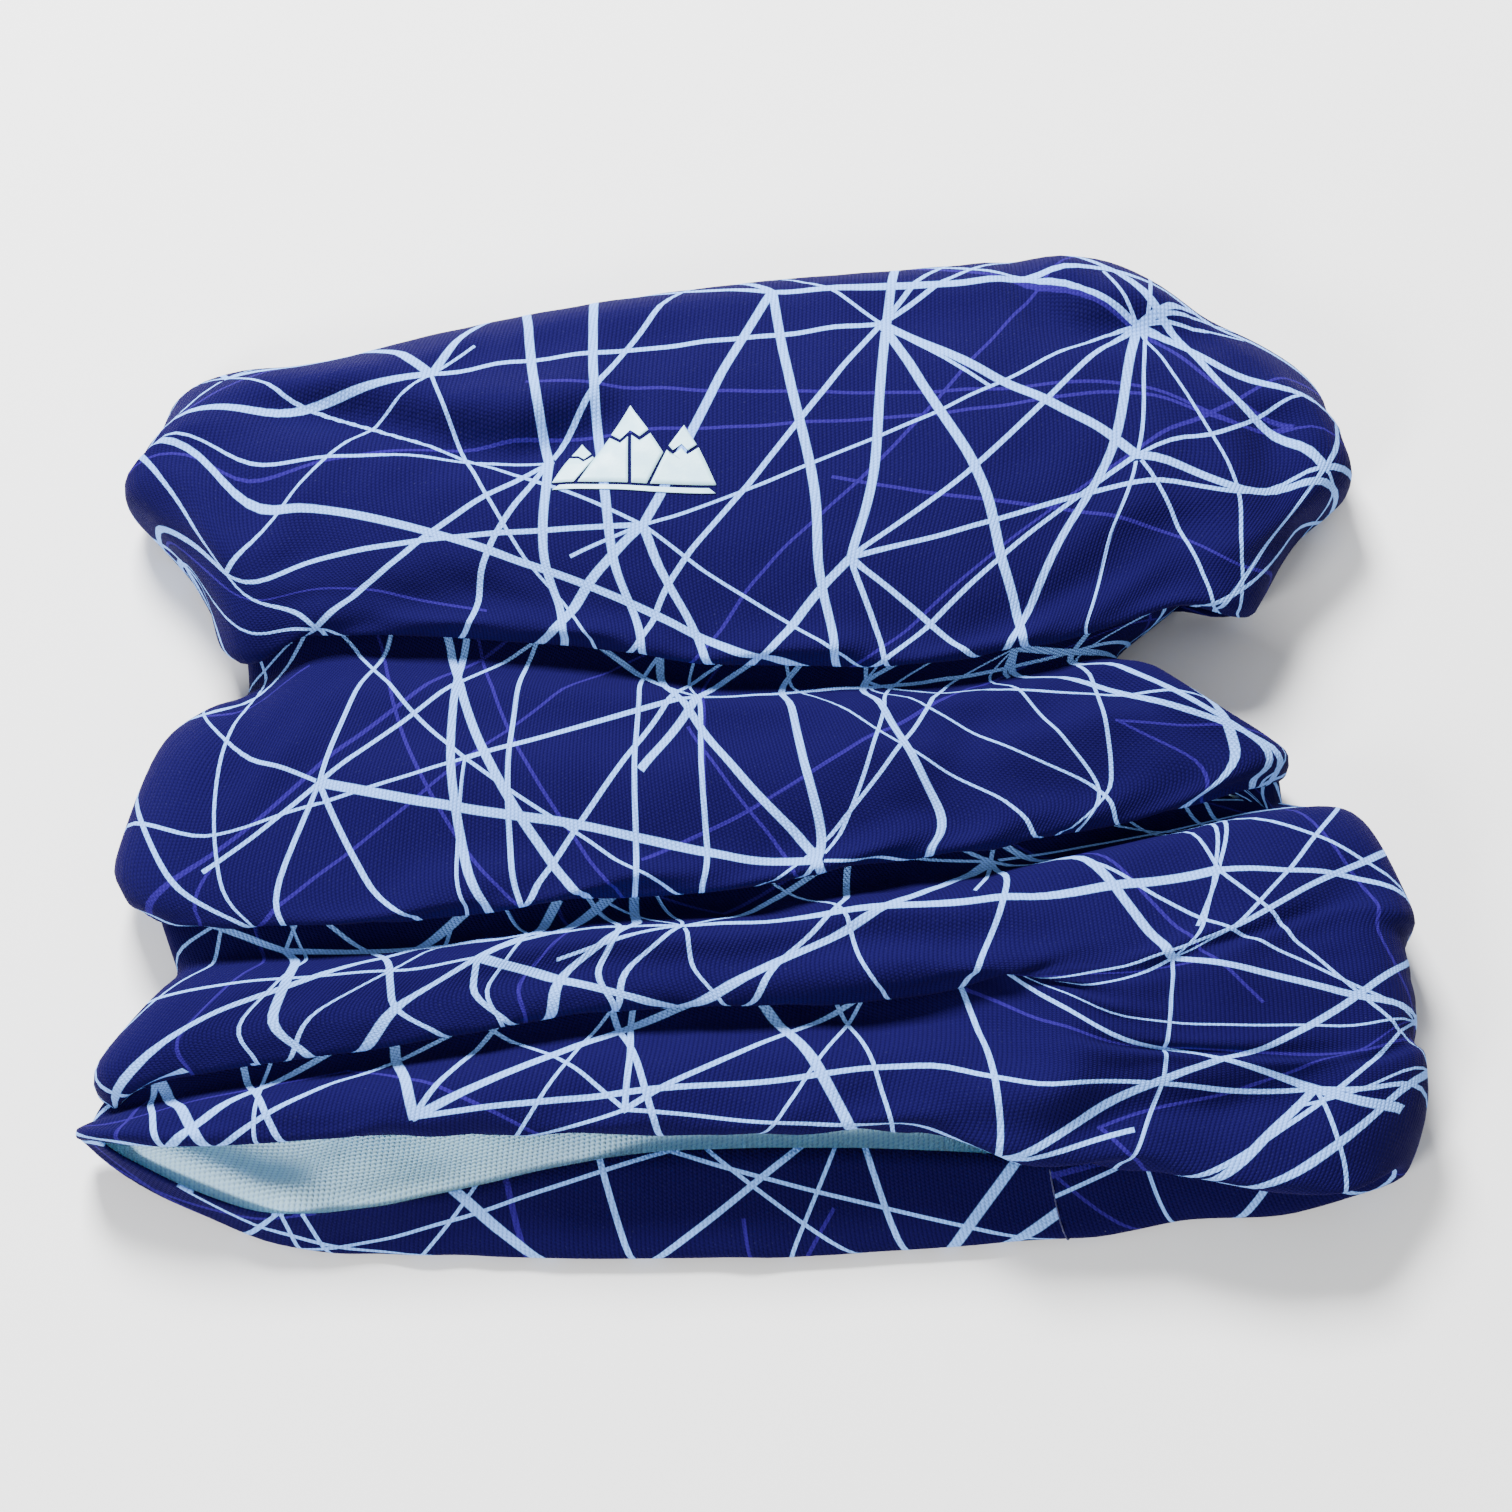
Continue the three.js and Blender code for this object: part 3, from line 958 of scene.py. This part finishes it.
@dataclass(frozen=True)
class Knit:
    """The loops of a jersey: columns of loops lengthwise and rows of loops across."""

    column: float
    row: float
    slant: float

    def height(self, nodes: Nodes, place: Socket) -> Socket:
        """The height of the loops, from 0 to 1.

        The columns are the absolute sine of the place across. The rows are a sine of the place
        along, moved forward at the middle of each column so that it forms the V of a loop.

        Args:
            nodes: the material's nodes.
            place: the place on the flat cloth.

        Returns:
            The height.
        """
        split = nodes.tree.nodes.new("ShaderNodeSeparateXYZ")
        nodes.set(split.inputs[0], place)
        u, v = split.outputs[0], split.outputs[1]
        column = nodes.math("ABSOLUTE", nodes.math("SINE", nodes.math("MULTIPLY", u, math.pi / self.column)))
        lean = nodes.math("MULTIPLY", u, self.slant * 2 * math.pi / self.column)
        forward = nodes.math("MULTIPLY", column, 2.4)
        phase = nodes.math("ADD", nodes.math("MULTIPLY_ADD", v, 2 * math.pi / self.row, lean), forward)
        row = nodes.math("MULTIPLY_ADD", nodes.math("SINE", phase), 0.5, 0.5)
        return nodes.math("MULTIPLY_ADD", column, 0.62, nodes.math("MULTIPLY", row, 0.38))


class Stroke(Enum):
    """The weights of line in the print, as half widths in metres."""

    BROAD = 0.00088
    MIDDLE = 0.00056
    FINE = 0.00036


@dataclass(frozen=True)
class CrossingLines:
    """Straight lines over the whole flat cloth, drawn between shared points. Lengths in metres.

    The cloth is counted in square cells, with a margin of cells before it, so that a line can be
    led where few lines pass yet. Directions are counted in rays. Most ends stop at their point,
    and the rest run on past it.
    """

    name: str
    size: tuple[float, float]
    spacing: float
    reach: tuple[float, float]
    count: int
    seed: int
    strokes: tuple[tuple[Stroke, float], ...]
    most: int
    cell: float = 0.02
    cells: int = 60
    margin: int = 10
    rays: int = 18
    tries: int = 90
    scatter: float = 0.36
    stops: float = 0.86
    runs_on: tuple[float, float] = (0.008, 0.03)

    def drawn(self) -> np.ndarray:
        """Every line, as its middle, direction, half length and half width.

        The points are a square lattice that runs on past the cloth, each moved by a seeded step.
        Each line in turn is the best of a seeded handful of pairs of points within reach of each
        other: the pair with the emptiest way between them, whose ends have no line yet in nearly
        that direction.

        Returns:
            One row for each line.
        """
        rng = np.random.default_rng(self.seed)
        axes = [np.arange(-1.5, size / self.spacing + 1.5) * self.spacing for size in self.size]
        points = np.stack(np.meshgrid(*axes, indexing="ij"), axis=-1).reshape(-1, 2)
        points = points + rng.uniform(-self.scatter, self.scatter, points.shape) * self.spacing
        one, two = np.triu_indices(len(points), 1)
        length = np.linalg.norm(points[two] - points[one], axis=1)
        near = (length > self.reach[0]) & (length < self.reach[1])
        one, two, length = one[near], two[near], length[near]
        way = (points[two] - points[one]) / length[:, None]
        share = np.linspace(0.04, 0.96, 16)[None, :, None]
        passed = points[one][:, None] * (1 - share) + points[two][:, None] * share
        cell = np.floor(passed / self.cell).astype(int) + self.margin
        cell = np.clip(cell, 0, self.cells - 1) @ np.array([self.cells, 1])
        turn = np.floor(np.arctan2(way[:, 1], way[:, 0]) / (2 * math.pi) * self.rays).astype(int) % self.rays
        back = (turn + self.rays // 2) % self.rays
        slant = turn % (self.rays // 2) // 2
        filled, used = np.zeros((self.cells**2, 5)), np.zeros((len(points), self.rays))
        free = np.ones(len(one), bool)
        made = []
        while len(made) < self.count:
            k = rng.integers(len(one), size=self.tries)
            cost = filled[cell[k]].sum(axis=2).mean(axis=1) / 2.7
            cost = cost + 3 * (used[one[k], turn[k]] + used[two[k], back[k]])
            cost += filled[cell[k], slant[k][:, None]].mean(axis=1) / 1.2
            cost += 0.25 * (used[one[k]].sum(axis=1) + used[two[k]].sum(axis=1)) + 100 * ~free[k]
            best = k[np.argmin(cost)]
            free[best] = False
            np.add.at(filled, (cell[best], slant[best]), 1)
            for point, ray in ((one[best], turn[best]), (two[best], back[best])):
                used[point, [ray, (ray + 1) % self.rays, (ray - 1) % self.rays]] += (1, 0.4, 0.4)
            past = np.where(rng.uniform(size=2) < self.stops, 0.0004, rng.uniform(*self.runs_on, 2))
            first, last = points[one[best]] - way[best] * past[0], points[two[best]] + way[best] * past[1]
            kind = rng.choice(len(self.strokes), p=[part for _, part in self.strokes])
            half = np.linalg.norm(last - first) / 2
            made.append((*((first + last) / 2), *way[best], half, self.strokes[kind][0].value))
        return np.array(made)

    def mark(self, mesh: bpy.types.Mesh) -> None:
        """Gives each face of a mesh the lines that pass closest to it, as face attributes.

        A line is two plane equations in the place on the flat cloth. The first is the distance
        across from the line's middle, and the second the distance along towards its near end,
        both in half widths and set so that the line covers a point where both are under 1.

        Args:
            mesh: the mesh, whose active UV map is its place on the flat cloth.
        """
        lines = self.drawn()
        at, way, half, wide = lines[:, :2], lines[:, 2:4], lines[:, 4], lines[:, 5:]
        square = np.stack([-way[:, 1], way[:, 0]], axis=1)
        across = np.concatenate([square, -(at * square).sum(axis=1, keepdims=True)], axis=1)
        along = np.concatenate([way, -(at * way).sum(axis=1, keepdims=True)], axis=1)
        uv = np.empty(len(mesh.loops) * 2, np.float32)
        mesh.uv_layers.active.data.foreach_get("uv", uv)
        middles = uv.reshape(-1, 4, 2).mean(axis=1)
        places = np.concatenate([middles, np.ones((len(middles), 1))], axis=1)
        terms = np.zeros((self.most, 2, len(places), 3), np.float32)
        for part in np.array_split(np.arange(len(places)), 12):
            run = places[part] @ along.T
            gap = np.hypot(places[part] @ across.T, np.maximum(np.abs(run) - half, 0)) - wide[:, 0]
            chosen = np.argsort(gap, axis=1)[:, : self.most]
            side = np.sign(np.take_along_axis(run, chosen, axis=1))
            for k in range(self.most):
                pick = chosen[:, k]
                terms[k, 0, part] = across[pick] / wide[pick]
                end = side[:, k, None] * along[pick] / wide[pick]
                end[:, 2] += 1 - half[pick] / wide[pick, 0]
                terms[k, 1, part] = end
        for k in range(self.most):
            for kind, values in zip(("across", "end"), terms[k]):
                layer = mesh.attributes.new(f"{self.name}_{kind}_{k}", "FLOAT_VECTOR", "FACE")
                layer.data.foreach_set("vector", values.ravel())

    def ink(self, nodes: Nodes, place: Socket) -> Socket:
        """How much of a point is covered by a line, from 0 to 1.

        Args:
            nodes: the material's nodes.
            place: the place on the flat cloth.

        Returns:
            The cover.
        """
        full = nodes.vector("ADD", place, (0.0, 0.0, 1.0))
        least: object = 9.0
        for k in range(self.most):
            across, end = (
                nodes.vector("DOT_PRODUCT", full, nodes.attribute(f"{self.name}_{kind}_{k}"), out="Value")
                for kind in ("across", "end")
            )
            least = nodes.math("MINIMUM", least, nodes.math("MAXIMUM", nodes.math("ABSOLUTE", across), end))
        return nodes.ease(least, 0.86, 1.14, (1.0, 0.0))


@dataclass(frozen=True)
class PrintedJersey:
    """The printed face of the jersey: deep indigo with pale lines and faint violet ones."""

    ground: Colour = (0.0036, 0.0009, 0.047, 1)
    pale: Colour = (0.22, 0.44, 1.0, 1)
    violet: Colour = (0.024, 0.009, 0.19, 1)
    white_base: Colour = (0.62, 0.70, 0.86, 1)
    knit: Knit = Knit(column=0.0008, row=0.0007, slant=0.5)
    lines: CrossingLines = CrossingLines(
        name="line", size=(0.5, 0.48), spacing=0.044, reach=(0.055, 0.17), count=560, seed=8,
        strokes=((Stroke.BROAD, 0.28), (Stroke.MIDDLE, 0.34), (Stroke.FINE, 0.38)), most=5,
    )
    faint: CrossingLines = CrossingLines(
        name="faint", size=(0.5, 0.48), spacing=0.07, reach=(0.1, 0.26), count=90, seed=5,
        strokes=((Stroke.MIDDLE, 0.2), (Stroke.FINE, 0.8)), most=3,
    )

    def material(self) -> bpy.types.Material:
        """The printed jersey on the flat cloth's own places.

        Returns:
            The material.
        """
        nodes = Nodes("printed_jersey")
        flat = nodes.flat_cloth()
        loops = self.knit.height(nodes, flat)
        fray = nodes.noise(flat, 2600, 1.0)
        colour = nodes.mix(nodes.math("MULTIPLY", self.faint.ink(nodes, flat), 0.75), self.ground, self.violet)
        cover = nodes.math("MULTIPLY", self.lines.ink(nodes, flat), nodes.ease(fray, 0.2, 0.5, (0.8, 1.0)))
        colour = nodes.mix(cover, colour, self.pale)
        # Painted shade: the colour is darkened in the grooves between the knit loops.
        shade = nodes.vector("SCALE", colour, (0, 0, 0))
        nodes.set(shade.node.inputs["Scale"], nodes.ease(loops, 0.1, 0.75, (0.7, 1.0)))
        worn = nodes.math("MULTIPLY", nodes.ease(nodes.noise(flat, 1900, 2.0), 0.62, 0.8), 0.015)
        colour = nodes.mix(worn, shade, self.white_base)
        nodes.bump(nodes.math("ADD", loops, nodes.math("MULTIPLY", nodes.noise(flat, 900, 3.0), 0.5)), 0.00022, 0.8)
        return nodes.surface(
            Base_Color=colour, Roughness=nodes.ease(loops, 0.0, 1.0, (0.95, 0.8)),
            Sheen_Weight=0.02, Sheen_Roughness=0.4, Sheen_Tint=(0.45, 0.25, 1.0, 1), Specular_IOR_Level=0.06,
        )


@dataclass(frozen=True)
class PlainJersey:
    """The unprinted back of the jersey, with its loops in clear ribs."""

    colour: Colour = (0.56, 0.88, 1.0, 1)
    # painted shade: the darker colour painted into the grooves between the loops and into the wrinkle valleys
    painted_shade: Colour = (0.34, 0.60, 0.86, 1)
    knit: Knit = Knit(column=0.0009, row=0.0007, slant=0.4)
    loop: float = 0.0003
    wrinkle: float = 0.002

    def material(self, name: str = "plain_jersey") -> bpy.types.Material:
        """The ribbed back of the jersey.

        Args:
            name: the material's name.

        Returns:
            The material.
        """
        nodes = Nodes(name)
        flat = nodes.flat_cloth()
        loops = self.knit.height(nodes, flat)
        cloudy = nodes.noise(flat, 45, 3.0)
        # Painted shade: the grooves between the loops are darkened.
        colour = nodes.mix(nodes.ease(loops, 0.15, 0.7), self.painted_shade, self.colour)
        colour = nodes.mix(nodes.ease(cloudy, 0.4, 0.75, (0.0, 0.25)), colour, (0.50, 0.60, 0.80, 1))
        wrinkled = nodes.noise(nodes.vector("MULTIPLY", flat, (1.0, 2.2, 1.0)), 38, 1.0)
        # Painted shade: the valleys of the wrinkles are darkened; the same noise also drives the bump below.
        colour = nodes.mix(nodes.ease(wrinkled, 0.38, 0.62, (0.3, 0.0)), colour, self.painted_shade)
        nodes.bump(nodes.math("MULTIPLY_ADD", wrinkled, self.wrinkle / self.loop, loops), self.loop, 0.9)
        return nodes.surface(
            Base_Color=colour, Roughness=0.9, Sheen_Weight=0.3, Sheen_Roughness=0.5, Specular_IOR_Level=0.25,
        )


@dataclass(frozen=True)
class SewingThread:
    """Twisted polyester thread."""

    colour: Colour = (0.018, 0.018, 0.13, 1)

    def material(self) -> bpy.types.Material:
        """Thread whose plies show as slanting ridges along it.

        Returns:
            The material.
        """
        nodes = Nodes("seam_thread")
        flat = nodes.flat_cloth()
        split = nodes.tree.nodes.new("ShaderNodeSeparateXYZ")
        nodes.set(split.inputs[0], flat)
        along = nodes.math("MULTIPLY", split.outputs[1], 9000.0)
        twist = nodes.math("MULTIPLY_ADD", split.outputs[0], 2 * math.pi * 2, along)
        ply = nodes.math("MULTIPLY_ADD", nodes.math("SINE", twist), 0.5, 0.5)
        # Painted shade: the grooves between the plies are darkened to six tenths of the thread colour.
        colour = nodes.mix(ply, tuple(c * 0.6 for c in self.colour[:3]) + (1,), self.colour)
        nodes.bump(ply, 0.0001, 0.8)
        return nodes.surface(Base_Color=colour, Roughness=0.6, Sheen_Weight=0.3)


@dataclass(frozen=True)
class PressedFilm:
    """The pale heat-pressed film of the emblem."""

    colour: Colour = (0.50, 0.85, 1.0, 1)
    shade: Colour = (0.44, 0.77, 0.96, 1)

    def material(self) -> bpy.types.Material:
        """Satin film that takes a little of the knit under it.

        Returns:
            The material.
        """
        nodes = Nodes("emblem_film")
        place = nodes.tree.nodes.new("ShaderNodeTexCoord").outputs["Object"]
        cloudy = nodes.noise(place, 260, 3.0)
        colour = nodes.mix(nodes.ease(cloudy, 0.35, 0.7), self.colour, self.shade)
        nodes.bump(nodes.noise(place, 1500, 2.0), 0.00006, 0.5)
        return nodes.surface(
            Base_Color=colour, Roughness=nodes.ease(cloudy, 0.3, 0.7, (0.42, 0.55)), Specular_IOR_Level=0.5,
            Coat_Weight=0.1, Coat_Roughness=0.4,
        )


# ---- Pieces on the cloth --------------------------------------------------------------------


def grid_piece(name: str, grids: Sequence[np.ndarray], material: bpy.types.Material) -> Thing:
    """One mesh object of closed tubes, each a grid that wraps round and is capped at its ends.

    Args:
        name: the piece's name.
        grids: each tube's points, as rings by places round by three.
        material: its material.

    Returns:
        The object, with a UV map of the share round and the metres along.
    """
    points, faces, uvs, base = [], [], [], 0
    for grid in grids:
        rings, around = grid.shape[:2]
        j, i = np.meshgrid(np.arange(rings - 1), np.arange(around), indexing="ij")
        corner = [(j, i), (j, i + 1), (j + 1, i + 1), (j + 1, i)]
        faces += np.stack([(base + a * around + b % around).ravel() for a, b in corner], axis=1).tolist()
        step = np.linalg.norm(np.diff(grid.mean(axis=1), axis=0), axis=1)
        walked = np.concatenate([[0], np.cumsum(step)])
        places = [np.stack([b / around, walked[a]], axis=-1).reshape(-1, 2) for a, b in corner]
        uvs.append(np.stack(places, axis=1).reshape(-1, 2))
        last = base + (rings - 1) * around
        faces += [list(range(base + around - 1, base - 1, -1)), list(range(last, last + around))]
        uvs.append(np.zeros((2 * around, 2)))
        points.append(grid.reshape(-1, 3))
        base += rings * around
    made = skin_piece(name, np.concatenate(points), faces, np.concatenate(uvs))
    made.data.materials.append(material)
    return made


def thread_tube(path: np.ndarray, radius: float, sides: int = 6) -> np.ndarray:
    """A round thread carried along a path.

    Each ring is a circle in the plane of two directions square to the path: one is square to the
    path and to a fixed reference, the other to the path and the first.

    Args:
        path: the points of the path.
        radius: the thread's radius.
        sides: the number of points round it.

    Returns:
        The rings of points.
    """
    ahead = np.gradient(path, axis=0)
    ahead /= np.linalg.norm(ahead, axis=1, keepdims=True)
    side = np.cross(ahead, (0.31, 0.17, 0.93))
    side /= np.linalg.norm(side, axis=1, keepdims=True)
    up = np.cross(side, ahead)
    angle = np.linspace(0, 2 * math.pi, sides, endpoint=False)
    ring = np.cos(angle)[None, :, None] * side[:, None] + np.sin(angle)[None, :, None] * up[:, None]
    return path[:, None] + radius * ring


@dataclass
class OverlockSeam:
    """The seam that closes the tube: its allowance and its three threads. Metres."""

    sleeve: Sleeve
    allowance_width: float = 0.006
    allowance_thickness: float = 0.0007
    stitch: float = 0.0026
    inset: float = 0.0015
    gap: float = 0.0002
    swing: float = 0.00022
    needle_radius: float = 0.00016
    looper_radius: float = 0.00018

    def pressed(self, v: np.ndarray) -> np.ndarray:
        """The share of its thickness that the allowance keeps, less where the cuff turns up."""
        return 1 - 0.8 * self.sleeve.turned(v)

    def allowance(self) -> Thing:
        """The two raw edges inside: a flat rounded strip carried along the seam.

        Each ring is a flattened oval whose width runs round the cloth and whose height runs
        inwards from the cloth's inner face.

        Returns:
            The strip.
        """
        v = np.linspace(self.inset, self.sleeve.length - self.inset, 260)
        angle = np.linspace(0, 2 * math.pi, 16, endpoint=False)
        wide, thick = np.cos(angle), np.sin(angle)
        wide = np.sign(wide) * np.abs(wide) ** 0.5
        thick = np.sign(thick) * np.abs(thick) ** 0.7
        u = self.allowance_width / 2 * (1 + wide[None, :]) + 0 * v[:, None]
        full = self.gap + self.allowance_thickness / 2 * (1 - thick[None, :])
        deep = -(self.sleeve.thickness + full * self.pressed(v)[:, None])
        grid = self.sleeve.on_cloth(u, v[:, None] + 0 * u, deep)
        return grid_piece("seam_allowance_strip", [grid], PlainJersey().material("seam_jersey"))

    def thread(
        self, name: str, u: np.ndarray, v: np.ndarray, height: np.ndarray, radius: float,
        material: bpy.types.Material,
    ) -> Thing:
        """One thread through points of the cloth."""
        return grid_piece(name, [thread_tube(self.sleeve.on_cloth(u, v, height), radius)], material)

    def build(self) -> dict[str, Thing]:
        """Makes the allowance and the threads, each under the CAD node it stands for.

        The needle thread rises and dips along the valley once a stitch. The upper looper swings
        across the allowance and the edge looper swings over its raw edge, both once a stitch.

        Returns:
            The pieces, by CAD node.
        """
        material = SewingThread().material()
        count = int((self.sleeve.length - 2 * self.inset) / self.stitch)
        v = np.linspace(self.inset, self.sleeve.length - self.inset, count * 8 + 1)
        turn = 2 * math.pi * np.arange(len(v)) / 8
        inner = -(self.sleeve.thickness + self.gap * self.pressed(v))
        low = inner - self.allowance_thickness * self.pressed(v)
        across = self.allowance_width / 2 * (1 + 0.92 * np.sin(turn))
        over = self.allowance_width + self.gap / 2 + 0 * v
        round_edge = (inner + low) / 2 + self.allowance_thickness * 0.55 * np.sin(turn)
        return {
            "seam_allowance": self.allowance(),
            "seam_needle_thread": self.thread(
                "seam_needle_stitches", 0 * v, v, self.gap / 2 + self.swing * np.sin(turn),
                self.needle_radius, material,
            ),
            "seam_looper_thread_upper": self.thread(
                "seam_upper_looper", across, v, low - self.swing * self.pressed(v), self.looper_radius,
                material,
            ),
            "seam_looper_thread_edge": self.thread(
                "seam_edge_looper", over, v, round_edge, self.looper_radius, material
            ),
        }


@dataclass
class RangeEmblem:
    """A plain range of three peaks, pressed from film in facets. Corners in millimetres."""

    sleeve: Sleeve
    place: tuple[float, float] = (-0.0225, 0.045)
    film: float = 0.00012
    glue: float = 0.0001
    facets: dict[str, Points] = field(
        default_factory=lambda: {
            "emblem_main_cap": ((-1, 17), (2.7, 11.2), (1, 9.9), (-0.9, 11.6), (-2.9, 9.6), (-4.6, 11.2)),
            "emblem_main_left": ((-4.9, 10.4), (-2.8, 8.6), (-1.3, 10.1), (-1.3, 0), (-11, 0)),
            "emblem_main_right": ((-0.6, 10.3), (1, 8.9), (3.1, 10.4), (5.6, 6.4), (2.4, 0), (-0.6, 0)),
            "emblem_left_cap": ((-10.4, 9.8), (-8.5, 6.6), (-9.9, 5.4), (-11.1, 6.5), (-12.3, 6.7)),
            "emblem_left_peak": (
                (-12.7, 6), (-11, 5.7), (-9.9, 4.5), (-8.2, 5.9), (-7.9, 5.4), (-11.8, 0), (-16, 0),
            ),
            "emblem_right_cap": ((9.6, 12), (12.1, 8), (10.4, 6.9), (9.2, 8.2), (7.5, 6.9), (6.7, 7.8)),
            "emblem_right_peak": ((6.3, 6.9), (7.5, 6), (9.2, 7.3), (10.3, 6), (12.5, 7.4), (16, 0), (3.1, 0)),
            "emblem_foot": ((-16, -1.8), (16, -1.8), (14.6, -0.7), (-14.6, -0.7)),
        }
    )

    def skin(self, corners: Points, at: tuple[float, float, float, float], height: float) -> np.ndarray:
        """One face of a facet, as rings drawn in from its outline to its middle.

        The outline is sampled evenly, and each ring is the outline shrunk towards the middle of
        its corners by an even step.

        Args:
            corners: the facet's corners.
            at: the emblem's place on the flat cloth, and the stretch there.
            height: how far the face stands off the cloth.

        Returns:
            The rings of points on the cloth.
        """
        u0, v0, stretch_u, stretch_v = at
        ring = np.array(corners, float)
        closed = np.concatenate([ring, ring[:1]])
        walked = np.concatenate([[0], np.cumsum(np.linalg.norm(np.diff(closed, axis=0), axis=1))])
        want = np.unique(np.concatenate([walked[:-1], np.linspace(0, walked[-1], 60, endpoint=False)]))
        outline = np.stack([np.interp(want, walked, closed[:, k]) for k in (0, 1)], axis=1)
        middle = ring.mean(axis=0)
        share = np.array([1.0, 0.8, 0.6, 0.4, 0.2, 0.02])[:, None, None]
        flat = (middle + share * (outline - middle)) * MM
        u, v = u0 - flat[..., 0] / stretch_u, v0 - flat[..., 1] / stretch_v
        return self.sleeve.on_cloth(u, v, height + 0 * u)

    def build(self) -> dict[str, Thing]:
        """Makes each facet: an upper and a lower skin, joined round the outline.

        Returns:
            The facets, by CAD node.
        """
        material = PressedFilm().material()
        at = self.sleeve.front_place(*self.place)
        made = {}
        for node, corners in self.facets.items():
            upper = self.skin(corners, at, self.glue + self.film)
            lower = self.skin(corners, at, self.glue)
            grid = np.concatenate([upper[::-1], lower])
            made[node] = grid_piece(node.replace("emblem", "film"), [grid], material)
        return made


# ---- Stage ----------------------------------------------------------------------------------


@dataclass(frozen=True)
class Studio:
    """The plain floor, the soft lights and the camera."""

    distance: float = 0.7
    elevation: float = 66.0
    target: tuple[float, float, float] = (0.0, -0.0075, 0.012)
    lens: float = 86.7
    floor_drop: float = 0.0002
    room_light: float = 0.56

    def camera(self) -> None:
        """Sets the camera in front of the lower mouth, looking down on the gaiter."""
        data = bpy.data.cameras.new("camera")
        data.lens, data.sensor_width = self.lens, 36
        data.clip_start = 0.01
        camera = placed("camera", data)
        tilt = math.radians(self.elevation)
        away = Vector((0, -math.cos(tilt), math.sin(tilt))) * self.distance
        camera.location = Vector(self.target) + away
        camera.rotation_euler = (math.radians(90) - tilt, 0, 0)
        bpy.context.scene.camera = camera

    def floor(self) -> Thing:
        """A pale floor, as one wide flat grid.

        Returns:
            The floor.
        """
        side = np.linspace(-3, 3, 3)
        x, y = np.meshgrid(side, side)
        points = np.stack([x, y, np.full_like(x, -self.floor_drop)], axis=-1).reshape(-1, 3)
        faces = [(0, 1, 4, 3), (1, 2, 5, 4), (3, 4, 7, 6), (4, 5, 8, 7)]
        mesh = bpy.data.meshes.new("floor")
        mesh.from_pydata(points, [], faces)
        made = placed("floor", mesh)
        material = bpy.data.materials.new("pale_floor")
        material.use_nodes = True
        shader = material.node_tree.nodes["Principled BSDF"]
        shader.inputs["Base Color"].default_value = (0.93, 0.93, 0.93, 1)
        shader.inputs["Roughness"].default_value = 0.9
        mesh.materials.append(material)
        return made

    def light(self, name: str, place: tuple[float, float, float], size: float, power: float) -> None:
        """A square soft light, turned to the gaiter.

        Args:
            name: the light's name.
            place: where it stands.
            size: the length of its side, in metres.
            power: its power, in watts.
        """
        data = bpy.data.lights.new(name, "AREA")
        data.size, data.energy = size, power
        lamp = placed(name, data)
        lamp.location = place
        lamp.rotation_euler = (-Vector(place)).to_track_quat("-Z", "Y").to_euler()

    def build(self) -> None:
        """Makes the floor, lights, world and camera."""
        self.camera()
        self.floor()
        self.light("window", (-0.3, 0.9, 0.9), 0.42, 66)
        self.light("fill", (-0.55, -0.75, 0.6), 0.3, 12)
        world = bpy.data.worlds.new("room")
        world.use_nodes = True
        background = world.node_tree.nodes["Background"]
        background.inputs["Color"].default_value = (1, 1, 1, 1)
        background.inputs["Strength"].default_value = self.room_light
        bpy.context.scene.world = world


def main() -> None:
    """Builds the gaiter and its stage."""
    logging.basicConfig(level=logging.INFO, format="%(name)s: %(message)s")
    Studio().build()
    sleeve = Sleeve()
    cloth = sleeve.build()
    trims = {**OverlockSeam(sleeve).build(), **RangeEmblem(sleeve).build()}
    for node, piece in {"fabric_tube": cloth, **trims}.items():
        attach(piece, "root")
        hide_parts(node)
        LOG.info("%s stands for %s", piece.name, node)


if __name__ == "__main__":
    main()
